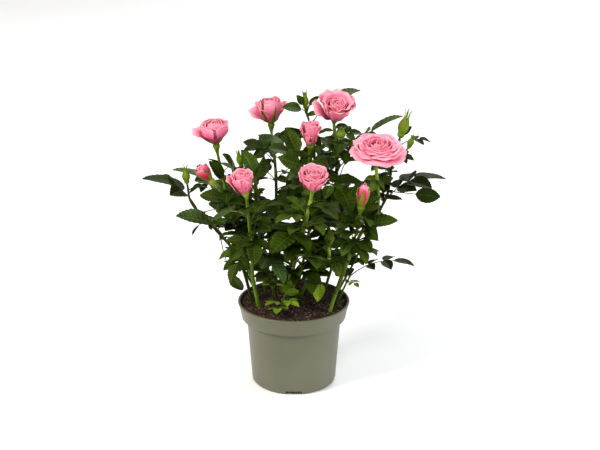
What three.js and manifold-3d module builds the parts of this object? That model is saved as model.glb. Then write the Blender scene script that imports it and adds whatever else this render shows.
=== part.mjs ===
// Miniature rose bush with pink double blooms in a round nursery pot.
// Millimetres, +Z up. The origin is the centre of the pot's flat underside, and the bush faces -Y.
// Every cane, bough, mass of foliage and large bloom is one closed solid of its own.
import * as THREE from "three";
import { mergeVertices } from "three/addons/utils/BufferGeometryUtils.js";
import Module from "manifold-3d";

const wasm = await Module();
wasm.setup();

// Clearance between solids that touch on the real plant.
const GAP = 0.3;

// The pot: a 10.5 cm thin-walled nursery pot with a deep collar.
const POT = {
  height: 80.7,
  rimRadius: 52.5,
  lipHeight: 1.8,
  lipStep: 0.7,
  collarHeight: 17,
  collarFootRadius: 49,
  wallTopRadius: 44.3,
  footRadius: 39.5,
  footEdge: 2.2,
  wall: 1.3,
  floor: 1.6,
  edge: 0.5,
  segments: 32,
};
const NOTCH = {
  count: 4,
  width: 15.4,
  height: 3.8,
  depth: 9,
  beyond: 4,
  drainRadius: 2.6,
  drainSides: 8,
};
const SOIL = { top: 79.6, fall: 0.9, shoulder: 5.8, edgeInset: 1.2, segments: 20 };

// Section counts of the round stems.
const CANE_SIDES = 6;
const STEM_SIDES = 5;
const TWIG_SIDES = 3;
const STEPS_PER_GUIDE = 2;
const BUD_STALK = 0.8;

// One compound leaf: a thin stalk with a leaflet at its end and one or two pairs along it.
const LEAF = {
  stalkWidth: 0.7,
  stalkTip: 0.5,
  stalkDepth: 0.8,
  arch: 0.15,
  terminalShare: 0.5,
  shortest: 13,
  longest: 34,
  widthShare: 0.66,
  widest: 0.43,
  foldShare: 0.1,
  droopShare: 0.06,
  thickness: 0.8,
  rootHalf: 0.9,
  pairPlaces: [0.8, 0.46],
  pairSizes: [0.86, 0.68],
  pairAngle: 58,
  pairDroop: 0.12,
  fullCount: 5,
  smallCount: 3,
  upright: 0.85,
  uprightLean: 0.4,
};
// How leaves aimed at a tip turn about their length until they find room.
const AIMED = { roll: 0.5, spread: 0.2, rolls: [0, 0.35, -0.35, 0.7, -0.7] };
// How seeded leaves stand on a stem, lowest first, and where they turn to until they find room.
const SEEDED = {
  turn: 137.5,
  turnSpread: 30,
  foot: 0.6,
  end: 0.4,
  topShare: 0.94,
  liftLow: -18,
  liftRange: 40,
  liftGain: 22,
  shortening: 0.38,
  lengthLow: 0.84,
  lengthRange: 0.3,
  roll: 0.7,
  spread: 0.24,
  fullLength: 58,
  parts: [1, 0.82],
  turns: [0, 24, -24, 48, -48, 76, -76, 104, -104],
  lifts: [0, 16, -20],
};
const CLEARANCE = 0.25;
const OWN_SHARE = 0.62;
// The crown's own space, which seeded leaves don't leave, and the room above the soil and the rim.
const CROWN = { centre: [6, 12, 158], halfSizes: [90, 112, 92], floor: 84 };
const SOIL_ROOM = 1.5;
const RIM_ROOM = 1;
const RIM_BAND = 3;

// Where sky or soil shows through the crown from the front, looking down at SKY_SLOPE degrees: the
// x and z of each opening's middle over the pot's axis, and half its width and height.
const SKY_SLOPE = 21;
const SKY_DEPTH = 130;
const SKY = [[54, 206, 8.5, 3.8], [56, 93, 9.4, 6.6], [67, 107, 6.6, 5.6], [-58, 229, 7.5, 5.6],
  [-87, 179, 5.6, 7.5], [-23, 193, 3.4, 6.6], [26, 257, 4.2, 3.8], [-72, 138, 4.7, 4.7],
  [79, 144, 4.7, 5.2], [-119, 178, 15, 5.6], [-3, 262, 8.5, 3.8], [-97, 138, 13.2, 5.6],
  [94, 141, 7.5, 7.5], [35, 90, 9, 4], [-26, 88, 8, 4]];

// Each shoot runs along a smooth line through its guide points. It is bare for `bareSteps` half
// guides and leafy above. A guide that starts with two numbers starts on the soil; `fork` starts it
// on the tip of another limb, shifted across. `aimed` leaves are [share, tip x, tip y, tip z,
// leaflets, size, turn] and make the crown's outline, where `turn` rolls a leaf about its length, in
// radians; `leaves` more follow the seeded rule, up to `reach` long.
// `buds` are [share of the line, foot x, y, z, tip x, y, z, radius].
const SHOOTS = {
  left: {
    guide: [[-39, 0], [-52, 4, 122], [-74, 5, 151], [-94, 2, 176], [-98, 0, 196]],
    cane: "cane_left", bareSteps: 3, foot: 1.6, tip: 1, seed: 11, leaves: 3, reach: 44,
    aimed: [[0.66, -138, -8, 206, 3, 1, -0.3], [0.385, -107, -18, 173, 1, 1.15, -0.4],
      [0.42, -89, 6, 160, 1], [0.44, -48, -8, 93, 1, 0.65, -0.9]],
    buds: [[1, -98, 0, 196, -100, 0, 216, 3.3]],
  },
  front_left: {
    guide: [[-33, -14], [-38, -20, 114], [-38, -26, 143], [-40, -36, 168], [-42, -45, 199]],
    cane: "cane_front_left", bareSteps: 3, foot: 1.8, tip: 1.4, seed: 23, leaves: 5, reach: 54,
    aimed: [[0.52, -8, -64, 124, 3], [0.48, -58, -52, 120, 3]],
    rose: "front_left",
  },
  left_bloom: {
    guide: [[-35, 18], [-46, 22, 114], [-56, 25, 149], [-64, 26, 183], [-71, 25, 219]],
    cane: "cane_left_bloom", bareSteps: 2, foot: 1.7, tip: 1.3, seed: 37, leaves: 7, reach: 56,
    aimed: [[0.6, -113, 32, 201, 3, 1, -0.2], [0.72, -64, 6, 224, 3], [0.7, -78, 20, 212, 1],
      [0.5, -76, 72, 176, 5]],
    stalks: [{ at: 0.66, to: [-71, 0, 194], rose: "left_bud" }],
    rose: "left_bloom",
  },
  mid_left: {
    guide: [[-26, 10], [-30, 8, 116], [-33, 11, 151], [-35, 8, 178], [-36, 4, 202]],
    cane: "cane_mid_left", bareSteps: 2, foot: 1.5, tip: 1, seed: 41, leaves: 7, reach: 60,
    aimed: [[0.82, -47, -4, 231, 3], [0.6, -27, -6, 194, 3, 0.8]],
    buds: [[1, -36, 4, 202, -38, 3, 221, 3.8], [0.86, -48, 8, 210, -52, 8, 228, 3]],
  },
  back_bloom: {
    guide: [[-20, 33], [-18, 37, 117], [-17, 40, 151], [-17, 43, 192], [-21, 45, 233]],
    cane: "cane_back_bloom", bareSteps: 2, foot: 1.7, tip: 1.3, seed: 59, leaves: 5, reach: 60,
    aimed: [[0.84, -47, 38, 225, 3, 1, -0.8]],
    rose: "back_bloom",
  },
  centre: {
    guide: [[-5, 27], [-2, 20, 108], [4, 16, 150], [12, 6, 193], [15, 0, 229]],
    cane: "cane_centre", bareSteps: 2, foot: 1.7, tip: 1.3, seed: 61, leaves: 7, reach: 60,
    aimed: [[0.62, -7, 14, 247, 3, 0.72], [0.76, -33, 28, 236, 3, 0.8]],
    rose: "centre",
  },
  top_bud: {
    guide: [[4, 40], [14, 44, 130], [19, 38, 190], [18, 31, 232], [11, 28, 259]],
    cane: "cane_top_bud", bareSteps: 2, foot: 1.5, tip: 1, seed: 67, leaves: 6, reach: 56,
    aimed: [[0.98, -10, 18, 265, 1, 1.4, -0.9], [0.96, 24, 34, 271, 1], [0.84, 62, 48, 273, 1]],
    buds: [[1, 11, 28, 259, 10, 30, 279, 3]],
  },
  front_bloom: {
    guide: [[-8, 4], [-3, -10, 108], [4, -26, 139], [11, -40, 174], [17, -50, 206]],
    cane: "cane_front_bloom", bareSteps: 2, foot: 1.8, tip: 1.5, seed: 73, leaves: 7, reach: 56,
    aimed: [[0.66, -20, -78, 160, 3, 1.3, -0.5], [0.78, -16, -66, 184, 3], [0.74, 27, -66, 172, 3]],
    rose: "front_bloom",
  },
  top_bloom: {
    guide: [[13, 33], [27, 32, 118], [37, 28, 165], [40, 20, 210], [37, 16, 250]],
    cane: "cane_top_bloom", bareSteps: 2, foot: 1.8, tip: 1.4, seed: 89, leaves: 7, reach: 60,
    aimed: [[0.54, 101, 46, 249, 3, 0.9, -0.4], [0.52, 41, -14, 212, 3], [0.62, 53, -24, 179, 1, 1.3],
      [0.74, 70, 18, 228, 1, 0.9, 0.9]],
    buds: [[0.86, 43, -1, 240, 44, -3, 253, 3.9], [0.78, 54, 6, 225, 52, 6, 242, 2.6]],
    rose: "top_bloom",
  },
  low_bud: {
    guide: [[6, 9], [10, 2, 92], [22, -10, 112], [32, -22, 130], [32, -30, 147]],
    cane: "cane_low_bud", bareSteps: 3, foot: 2, tip: 1.4, seed: 97, leaves: 5, reach: 54,
    aimed: [[0.56, 22, -42, 97, 1]],
    buds: [[1, 32, -30, 147, 34, -32, 166, 4.2]],
  },
  right: {
    guide: [[34, -25], [38, -23, 94], [44, -22, 112], [54, -24, 143]],
    cane: "cane_right", bareSteps: 6, foot: 1.7, tip: 2.1,
  },
  right_bough: {
    fork: { limb: "right", across: [1.2, 1.2, 0] },
    guide: [[66, -19, 162], [77, -15, 172]],
    cane: "bough_right", bareSteps: 4, foot: 1.5, tip: 2.1,
  },
  right_low: {
    fork: { limb: "right", across: [-1.1, -1.2, 0] },
    guide: [[57, -34, 161], [60, -45, 186]],
    bareSteps: 0, foot: 1.2, tip: 1, seed: 103, leaves: 5, reach: 46,
    aimed: [[0.4, 94, -44, 178, 3, 1.1, 0.6], [0.28, 69, -66, 155, 3], [0.14, 66, -56, 140, 3]],
    rose: "right_bud",
  },
  right_bloom: {
    fork: { limb: "right_bough", across: [-0.6, -1.4, 0.6] },
    guide: [[77.5, -18, 190], [75, -18, 219]],
    bareSteps: 0, foot: 1.3, tip: 1.7, seed: 107, leaves: 3, reach: 44,
    aimed: [],
    rose: "right_bloom",
  },
  right_tip: {
    fork: { limb: "right_bough", across: [0.4, 1.5, -0.4] },
    guide: [[87, 4, 186], [91, 18, 207], [98, 22, 233]],
    bareSteps: 0, foot: 1.3, tip: 1.2, seed: 109, leaves: 7, reach: 46,
    aimed: [[0.24, 142, 20, 196, 5], [0.36, 135, -8, 187, 1, 0.9, 0.6], [0.9, 128, 32, 227, 3, 0.7]],
    buds: [[1, 98, 22, 233, 107, 21, 263, 4.6], [0.78, 106, 20, 224, 111, 18, 239, 2.9]],
  },
  rear_left: {
    guide: [[-22, 40], [-28, 56, 108], [-34, 70, 140], [-36, 80, 166]],
    cane: "cane_rear_left", bareSteps: 2, foot: 1.5, tip: 1, seed: 127, leaves: 4, reach: 54, aimed: [],
    buds: [[1, -36, 80, 166, -37, 84, 184, 3.4]],
  },
  rear_right: {
    guide: [[30, 30], [40, 48, 108], [46, 62, 138], [44, 74, 162]],
    cane: "cane_rear_right", bareSteps: 2, foot: 1.5, tip: 1, seed: 131, leaves: 5, reach: 54, aimed: [],
    buds: [[1, 44, 74, 162, 44, 79, 179, 3.4]],
  },
  rear: {
    guide: [[-8, 44], [0, 62, 106], [4, 80, 132], [6, 90, 156]],
    cane: "cane_rear", bareSteps: 2, foot: 1.5, tip: 1, seed: 137, leaves: 4, reach: 52, aimed: [],
    buds: [[1, 6, 90, 156, 5, 94, 173, 3]],
  },
  low_front: {
    guide: [[-12, -28], [-11, -29, 88], [-8, -28, 99]],
    bareSteps: 0, foot: 1.2, tip: 0.8, seed: 139, leaves: 2, reach: 28,
    aimed: [[0.6, 5, -42, 92, 3, 0.8], [0.5, -26, -42, 93, 3, 0.8]],
  },
  low_centre: {
    guide: [[-18, -6], [-19, -18, 104], [-16, -30, 126]],
    bareSteps: 0, foot: 1.4, tip: 0.8, seed: 163, leaves: 5, reach: 42,
    aimed: [[0.7, -34, -48, 120, 3, 1.15]],
  },
  low_right: {
    guide: [[41, -4], [47, -8, 96], [53, -12, 111]],
    bareSteps: 0, foot: 1.2, tip: 0.8, seed: 149, leaves: 3, reach: 36,
    aimed: [[0.95, 112, -20, 124, 5, 0.6], [0.7, 60, -30, 106, 5, 0.5]],
  },
  low_left: {
    guide: [[-37, 28], [-50, 38, 100], [-60, 46, 122]],
    bareSteps: 0, foot: 1.3, tip: 0.8, seed: 151, leaves: 5, reach: 42, aimed: [],
  },
  low_back: {
    guide: [[41, 18], [55, 30, 102], [67, 38, 124]],
    bareSteps: 0, foot: 1.3, tip: 0.8, seed: 157, leaves: 5, reach: 42, aimed: [],
  },
};

// Each large bloom: the foot of its hip is on the end of its stem, and its axis leans as `axis`.
// `radius` is the open bloom's reach and `heart` the height of its closed petals above the `hip`;
// `angles` are its outer petals' slopes in degrees at foot, middle and tip.
const ROSES = {
  left_bloom: { axis: [-0.1, -0.12, 1], radius: 17.4, hip: 9, heart: 20, heartShare: 0.72,
    angles: [32, 56, 34], petals: 5 },
  back_bloom: { axis: [0, -0.1, 1], radius: 16.8, hip: 9, heart: 23, heartShare: 0.64,
    angles: [36, 58, 40], petals: 5 },
  top_bloom: { axis: [0.14, -0.42, 1], radius: 17.2, hip: 6, heart: 19, heartShare: 0.86,
    angles: [4, 68, 50], petals: 6 },
  centre: { axis: [0.02, -0.08, 1], radius: 9.2, hip: 6, heart: 20, heartShare: 0.76,
    angles: [14, 82, 58], petals: 4 },
  right_bloom: { axis: [0.06, -0.2, 1], radius: 26.4, hip: 7, heart: 18, heartShare: 0.66,
    angles: [18, 36, -18], petals: 7 },
  front_bloom: { axis: [0.06, -0.42, 1], radius: 13, hip: 6, heart: 19, heartShare: 0.88,
    angles: [0, 74, 64], petals: 5 },
  front_left: { axis: [-0.22, -0.16, 1], radius: 11, hip: 7, heart: 18, heartShare: 0.86,
    angles: [4, 78, 64], petals: 5 },
  left_bud: { axis: [-0.62, -0.16, 0.79], radius: 7.2, hip: 10, heart: 15, heartShare: 0.9,
    angles: [16, 84, 84], petals: 3 },
  right_bud: { axis: [0.16, -0.06, 1], radius: 6.6, hip: 6, heart: 21, heartShare: 0.84,
    angles: [20, 94, 96], petals: 0 },
};
const BLOOM = {
  hipRadius: 3.4,
  stalkRadius: 1.6,
  petalThickness: 0.9,
  petalRound: 2.4,
  snug: 0.88,
  heartSides: 8,
  petalRows: 2,
  petalColumns: 2,
  petalWidths: [0.7, 1, 0.96],
  sectorShare: 0.92,
  petalSink: 0.5,
  pathSteps: 12,
  shoulder: 0.4,
  hipPlace: 0.55,
  hipNeck: 0.8,
  lowPlace: 0.34,
  highPlace: 0.7,
  highShare: 0.98,
  mouthShare: 0.66,
  mouthPlace: 0.9,
};
// A bud's rings from foot to tip: place along it and share of its radius.
const BUD_RINGS = [[-0.06, 0.4], [0.16, 0.9], [0.42, 1], [0.72, 0.35], [1, 0.08]];
const SIDE_STALK = { foot: 1.1, tip: 1.4, steps: 3 };

const COLOURS = {
  pot: { color: 0x75765f, roughness: 0.52, metalness: 0 },
  soil: { color: 0x2e2119, roughness: 0.95, metalness: 0 },
  cane: { color: 0x4a6628, roughness: 0.5, metalness: 0 },
  foliage: { color: 0x274a1e, roughness: 0.42, metalness: 0 },
  rose: { color: 0xf48aa6, roughness: 0.55, metalness: 0 },
};

const UP = new THREE.Vector3(0, 0, 1);
const LEAST_ACROSS = 0.9;

function vec(x, y, z) {
  return new THREE.Vector3(x, y, z);
}

function along(point, direction, distance) {
  return point.clone().addScaledVector(direction, distance);
}

function radians(degrees) {
  return degrees * Math.PI / 180;
}

// A stream of numbers from 0 to 1 that a seed fixes.
function stream(seed) {
  let state = seed * 7919 + 17;
  return () => {
    state = (state * 48271) % 2147483647;
    return state / 2147483647;
  };
}

// Closed mesh from vertices and triangles.
function meshFrom(points, triangles) {
  const geometry = new THREE.BufferGeometry();
  const values = new Float32Array(points.length * 3);
  points.forEach((point, i) => point.toArray(values, i * 3));
  geometry.setAttribute("position", new THREE.BufferAttribute(values, 3));
  geometry.setIndex(triangles.flat());
  return geometry;
}

function toSolid(geometry) {
  const bare = geometry.clone();
  bare.deleteAttribute("normal");
  bare.deleteAttribute("uv");
  const merged = mergeVertices(bare, 1e-4);
  return new wasm.Manifold(new wasm.Mesh({
    numProp: 3,
    vertProperties: Float32Array.from(merged.attributes.position.array),
    triVerts: Uint32Array.from(merged.index.array),
  }));
}

// The largest connected body of a solid: loose scraps and sealed hollows fall away.
function mainBody(solid) {
  return solid.decompose().reduce((best, piece) => (piece.volume() > best.volume() ? piece : best));
}

function toGeometry(solid) {
  const mesh = mainBody(solid).getMesh();
  const geometry = new THREE.BufferGeometry();
  geometry.setAttribute("position", new THREE.BufferAttribute(new Float32Array(mesh.vertProperties), 3));
  geometry.setIndex(Array.from(mesh.triVerts));
  geometry.computeVertexNormals();
  return geometry;
}

function fuse(geometries) {
  return geometries.map(toSolid).reduce((sum, piece) => sum.add(piece));
}

// A ring of points about a centre, square to the direction n x b.
function ring(centre, n, b, radius, sides) {
  const points = [];
  for (let j = 0; j < sides; j += 1) {
    const angle = 2 * Math.PI * j / sides;
    points.push(along(along(centre, n, radius * Math.cos(angle)), b, radius * Math.sin(angle)));
  }
  return points;
}

// A tapering limb along points. Its ends are cut square to its line, or to the axes given.
function limb(points, radii, sides, { startAxis = null, endAxis = null } = {}) {
  const last = points.length - 1;
  const tangents = points.map((point, i) => {
    const from = points[Math.max(i - 1, 0)];
    const to = points[Math.min(i + 1, last)];
    return to.clone().sub(from).normalize();
  });
  tangents[0] = startAxis ?? tangents[0];
  tangents[last] = endAxis ?? tangents[last];
  let side = Math.abs(tangents[0].x) < LEAST_ACROSS ? vec(1, 0, 0) : vec(0, 1, 0);
  const vertices = [];
  tangents.forEach((axis, i) => {
    const normal = side.clone().addScaledVector(axis, -side.dot(axis)).normalize();
    side = normal;
    vertices.push(...ring(points[i], normal, axis.clone().cross(normal), radii[i], sides));
  });
  const triangles = [];
  for (let i = 0; i < last; i += 1) {
    for (let j = 0; j < sides; j += 1) {
      const a = i * sides + j;
      const b = i * sides + (j + 1) % sides;
      triangles.push([a, b, b + sides], [a, b + sides, a + sides]);
    }
  }
  for (let j = 1; j < sides - 1; j += 1) {
    triangles.push([0, j + 1, j], [last * sides, last * sides + j, last * sides + j + 1]);
  }
  return meshFrom(vertices, triangles);
}

// Where a forking shoot starts: just past the cut tip of another limb, shifted across it.
function forkPoint({ limb: name, across }) {
  const { line } = SHOOTS[name];
  const axis = line.getTangent(1);
  const shift = vec(...across);
  shift.addScaledVector(axis, -shift.dot(axis));
  return along(line.getPoint(1), axis, GAP).add(shift);
}

// The smooth line of a shoot, and the part of it between two shares.
function shootLine(shoot) {
  const points = shoot.guide.map(([x, y, z]) => vec(x, y, z ?? SOIL.top + GAP));
  if (shoot.fork) {
    points.unshift(forkPoint(shoot.fork));
  }
  return new THREE.CatmullRomCurve3(points, false, "catmullrom", 0.5);
}

function linePoints(line, from, to, steps) {
  return Array.from({ length: steps + 1 }, (_, i) => line.getPoint(from + (to - from) * i / steps));
}

function taper(from, to, steps) {
  return Array.from({ length: steps + 1 }, (_, i) => from + (to - from) * i / steps);
}

// A box turned to its own axes, used to keep pieces clear of each other.
function turnedBox(centre, axes, halves, owner, kind) {
  return { centre, axes, halves, owner, kind, reach: Math.hypot(...halves) };
}

function boxAround(from, to, radius, owner, kind) {
  const direction = to.clone().sub(from);
  const length = direction.length();
  direction.normalize();
  const helper = Math.abs(direction.z) < LEAST_ACROSS ? UP : vec(1, 0, 0);
  const across = helper.clone().cross(direction).normalize();
  const third = direction.clone().cross(across);
  const centre = from.clone().add(to).multiplyScalar(0.5);
  return turnedBox(centre, [direction, across, third], [length / 2, radius, radius], owner, kind);
}

// Two turned boxes are apart where one of the fifteen usual axes shows a gap.
function apart(a, b) {
  const offset = b.centre.clone().sub(a.centre);
  if (offset.length() > a.reach + b.reach) {
    return true;
  }
  const gapOn = (axis) => {
    const reachOf = (box) => box.axes.reduce((sum, v, i) => sum + box.halves[i] * Math.abs(v.dot(axis)), 0);
    return Math.abs(offset.dot(axis)) > reachOf(a) + reachOf(b);
  };
  if (a.axes.some(gapOn) || b.axes.some(gapOn)) {
    return true;
  }
  return a.axes.some((u) => b.axes.some((v) => gapOn(u.clone().cross(v))));
}

// The four corners of a leaf stalk's section: [across, upward] from its middle line.
const STALK_CORNERS = [[-1, 1], [1, 1], [1, -1], [-1, -1]];
const [TOP_LEFT, TOP_RIGHT, LOW_RIGHT, LOW_LEFT] = [0, 1, 2, 3];

// One compound leaf as a closed mesh: a square stalk, and leaflets that grow out of its sides and
// its end. Each leaflet is a blade with folded edges, a drooping tip and a thicker middle.
function leafMesh({ stations, leaflets }) {
  const vertices = [];
  const triangles = [];
  const corner = (station, k) => station * STALK_CORNERS.length + k;
  stations.forEach(({ point, normal, outward, half }) => {
    for (const [across, upward] of STALK_CORNERS) {
      vertices.push(along(along(point, outward, across * half), normal, upward * half * LEAF.stalkDepth));
    }
  });
  const quad = (a, b, c, d) => triangles.push([a, b, c], [a, c, d]);
  const blade = (leaflet, roots) => {
    const { root, direction, normal, side, length, width } = leaflet;
    const fold = length * LEAF.foldShare;
    const middle = along(root, direction, length * LEAF.widest);
    const first = vertices.length;
    vertices.push(
      along(along(middle, side, -width / 2), normal, fold),
      along(along(root, direction, length), normal, -length * LEAF.droopShare),
      along(along(middle, side, width / 2), normal, fold),
      along(middle, normal, LEAF.thickness / 2),
      along(middle, normal, -LEAF.thickness / 2),
    );
    const [wideA, tip, wideB, top, bottom] = [0, 1, 2, 3, 4].map((i) => first + i);
    const [topA, topB, lowB, lowA] = roots;
    const faces = [[top, topA, wideA], [top, wideA, tip], [top, tip, wideB], [top, wideB, topB],
      [top, topB, topA], [bottom, wideA, lowA], [bottom, tip, wideA], [bottom, wideB, tip],
      [bottom, lowB, wideB], [bottom, lowA, lowB], [topA, lowA, wideA], [lowB, topB, wideB]];
    triangles.push(...(leaflet.hand < 0 ? faces.map(([a, b, c]) => [a, c, b]) : faces));
  };
  const last = stations.length - 1;
  for (let i = 0; i < last; i += 1) {
    const j = i + 1;
    const face = (k, l) => quad(corner(i, k), corner(i, l), corner(j, l), corner(j, k));
    face(TOP_LEFT, TOP_RIGHT);
    face(LOW_RIGHT, LOW_LEFT);
    if (!leaflets.some((leaflet) => leaflet.station === i)) {
      face(TOP_RIGHT, LOW_RIGHT);
      face(LOW_LEFT, TOP_LEFT);
    }
  }
  quad(corner(0, TOP_RIGHT), corner(0, TOP_LEFT), corner(0, LOW_LEFT), corner(0, LOW_RIGHT));
  for (const leaflet of leaflets) {
    const i = leaflet.station;
    if (i === last) {
      blade(leaflet, [TOP_RIGHT, TOP_LEFT, LOW_LEFT, LOW_RIGHT].map((k) => corner(i, k)));
    } else {
      const [top, low] = leaflet.hand > 0 ? [TOP_RIGHT, LOW_RIGHT] : [TOP_LEFT, LOW_LEFT];
      blade(leaflet, [corner(i, top), corner(i + 1, top), corner(i + 1, low), corner(i, low)]);
    }
  }
  return meshFrom(vertices, triangles);
}

// The boxes that a leaf fills: one round each leaflet and two along its stalk.
function leafletBox({ root, direction, normal, length, width }, owner) {
  const lift = length * (LEAF.foldShare - LEAF.droopShare) / 2;
  const centre = along(along(root, direction, length / 2), normal, lift);
  const depth = length * (LEAF.foldShare + LEAF.droopShare) / 2 + LEAF.thickness / 2;
  const halves = [length / 2 + CLEARANCE, width / 2 + CLEARANCE, depth + CLEARANCE];
  return turnedBox(centre, [direction, direction.clone().cross(normal), normal], halves, owner, "leaf");
}

// A compound leaf from its base on a stem to its tip. `roll` turns its upper face about its length.
function compoundLeaf(base, tip, count, roll, spread, size = 1) {
  const chord = tip.clone().sub(base);
  const span = chord.length();
  const direction = chord.clone().normalize();
  const upright = Math.abs(direction.z) > LEAF.upright;
  const facing = upright ? vec(-direction.x, -direction.y - LEAF.uprightLean, 0) : UP;
  const flat = facing.clone().addScaledVector(direction, -facing.dot(direction)).normalize();
  const across = direction.clone().cross(flat);
  const face = flat.clone().multiplyScalar(Math.cos(roll)).addScaledVector(across, Math.sin(roll));
  const terminal = size * Math.min(Math.max(span * LEAF.terminalShare, LEAF.shortest), LEAF.longest);
  const stalkShare = 1 - terminal / span;
  const control = along(base.clone().lerp(tip, 0.5), face, 2 * LEAF.arch * span);
  const curve = new THREE.QuadraticBezierCurve3(base, control, tip);
  const squareTo = (way) => face.clone().addScaledVector(way, -face.dot(way)).normalize();
  const stationAt = (share) => {
    const place = share * stalkShare;
    const heading = control.clone().sub(base).lerp(tip.clone().sub(control), place).normalize();
    const normal = squareTo(heading);
    const outward = heading.clone().cross(normal);
    const half = LEAF.stalkWidth + (LEAF.stalkTip - LEAF.stalkWidth) * share;
    return { point: curve.getPoint(place), heading, normal, outward, half };
  };
  const pairs = Math.floor(count / 2);
  const rootShare = LEAF.rootHalf / (span * stalkShare);
  const places = LEAF.pairPlaces.slice(0, pairs).reverse();
  const shares = [0, ...places.flatMap((place) => [place - rootShare, place + rootShare]), 1];
  const stations = shares.map(stationAt);
  const end = stations[stations.length - 1];
  const onward = tip.clone().sub(end.point);
  const length = onward.length();
  onward.normalize();
  const leaflets = [{
    station: stations.length - 1,
    hand: 1,
    root: end.point,
    direction: onward,
    normal: squareTo(onward),
    side: end.outward.clone().negate(),
    length,
    width: length * LEAF.widthShare,
  }];
  const angle = radians(LEAF.pairAngle) + spread;
  places.forEach((place, pair) => {
    const { point, heading, normal, outward } = stationAt(place);
    const reach = length * LEAF.pairSizes[pairs - 1 - pair];
    for (const hand of [1, -1]) {
      const way = heading.clone().multiplyScalar(Math.cos(angle));
      way.addScaledVector(outward, hand * Math.sin(angle));
      way.addScaledVector(normal, -LEAF.pairDroop).normalize();
      const upward = normal.clone().addScaledVector(way, -normal.dot(way)).normalize();
      leaflets.push({
        station: 2 * pair + 1,
        hand,
        root: along(point, outward, hand * LEAF.stalkTip),
        direction: way,
        normal: upward,
        side: upward.clone().cross(way).multiplyScalar(hand),
        length: reach,
        width: reach * LEAF.widthShare,
      });
    }
  });
  return { stations, leaflets };
}

function leafBoxes({ stations, leaflets }, owner) {
  const boxes = leaflets.map((leaflet) => leafletBox(leaflet, owner));
  const [foot, next] = stations;
  const clearOfStem = along(foot.point, foot.heading, LEAF.stalkWidth * 3);
  boxes.push(boxAround(clearOfStem, next.point, LEAF.stalkWidth + CLEARANCE, owner, "stalk"));
  if (leaflets.length > 1) {
    boxes.push(boxAround(next.point, stations.at(-1).point, LEAF.stalkWidth + CLEARANCE, owner, "stalk"));
  }
  return boxes;
}

// A leaf keeps off the soil, and off the rim where it hangs over it.
function touchesPot(box) {
  const depth = box.axes.reduce((sum, axis, i) => sum + box.halves[i] * Math.abs(axis.z), 0);
  const reach = box.axes.reduce((sum, axis, i) =>
    sum + box.halves[i] * Math.hypot(axis.x, axis.y), 0);
  const low = box.centre.z - depth;
  const far = Math.hypot(box.centre.x, box.centre.y);
  const overSoil = far + reach < POT.rimRadius - RIM_BAND;
  const beyondRim = far - reach > POT.rimRadius + RIM_ROOM;
  return !beyondRim && low < (overSoil ? SOIL.top + SOIL_ROOM : POT.height + RIM_ROOM);
}

function insideCrown(point) {
  const [x, y, z] = ["x", "y", "z"].map((key, i) =>
    (point[key] - CROWN.centre[i]) / CROWN.halfSizes[i]);
  return x * x + y * y + z * z < 1 && point.z > CROWN.floor;
}

// Leaves of one mass may lie closer to each other than to another mass.
function shrunk(box) {
  const halves = box.halves.map((half) => half * OWN_SHARE);
  return { ...box, halves, reach: box.reach * OWN_SHARE };
}

// A leaf is kept where its boxes touch nothing of another leaf, limb or bloom.
function isClear(boxes, taken, owner) {
  return boxes.every((box) => !touchesPot(box) && taken.every((other) => {
    if (other.owner !== owner) {
      return apart(box, other) || (other.turned && apart(box, other.turned));
    }
    return other.kind === "stem" || apart(shrunk(box), shrunk(other));
  }));
}

// Every stem, stalk and bud first: they are never moved for a leaf.
function placeStems(taken) {
  for (const [name, shoot] of Object.entries(SHOOTS)) {
    shoot.line = shootLine(shoot);
    shoot.steps = (shoot.line.points.length - 1) * STEPS_PER_GUIDE;
    shoot.bare = shoot.bareSteps / shoot.steps;
    const points = linePoints(shoot.line, 0, 1, shoot.steps);
    const radii = taper(shoot.foot, shoot.tip, shoot.steps);
    for (let i = 0; i < shoot.steps; i += 1) {
      const owner = i < shoot.bareSteps ? `bare_${name}` : name;
      taken.push(boxAround(points[i], points[i + 1], radii[i] + CLEARANCE, owner, "stem"));
    }
    if (shoot.rose) {
      ROSES[shoot.rose].foot = points[shoot.steps];
    }
    for (const { at, to, rose } of shoot.stalks ?? []) {
      ROSES[rose].foot = vec(...to);
      const start = shoot.line.getPoint(at);
      taken.push(boxAround(start, ROSES[rose].foot, shoot.tip + CLEARANCE, name, "stem"));
    }
    for (const [at, x, y, z, tipX, tipY, tipZ, radius] of shoot.buds ?? []) {
      const foot = vec(x, y, z);
      taken.push(boxAround(foot, vec(tipX, tipY, tipZ), radius + CLEARANCE, name, "stem"));
      if (at < 1) {
        taken.push(boxAround(shoot.line.getPoint(at), foot, BUD_STALK + CLEARANCE, name, "stem"));
      }
    }
  }
}

// Then the blooms, each as three stacked boxes that hug it from eight sides.
function placeRoses(taken) {
  for (const [name, rose] of Object.entries(ROSES)) {
    rose.way = vec(...rose.axis).normalize();
    rose.path = petalPath(rose);
    const shoulder = rose.heart * BLOOM.shoulder;
    const levels = [0, rose.hip, rose.hip + shoulder, rose.hip + rose.heart + BLOOM.petalRound];
    const cup = Math.max(rose.radius / 2, radiusAt(rose.path, shoulder));
    [BLOOM.hipRadius, cup, rose.radius].forEach((width, i) => {
      const low = along(rose.foot, rose.way, levels[i]);
      const high = along(rose.foot, rose.way, levels[i + 1]);
      const box = boxAround(low, high, width + CLEARANCE, `rose_${name}`, "bloom");
      const [axis, u, v] = box.axes;
      const between = [u.clone().add(v).normalize(), v.clone().sub(u).normalize()];
      box.turned = turnedBox(box.centre, [axis, ...between], box.halves, box.owner, box.kind);
      taken.push(box);
    });
  }
}

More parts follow.
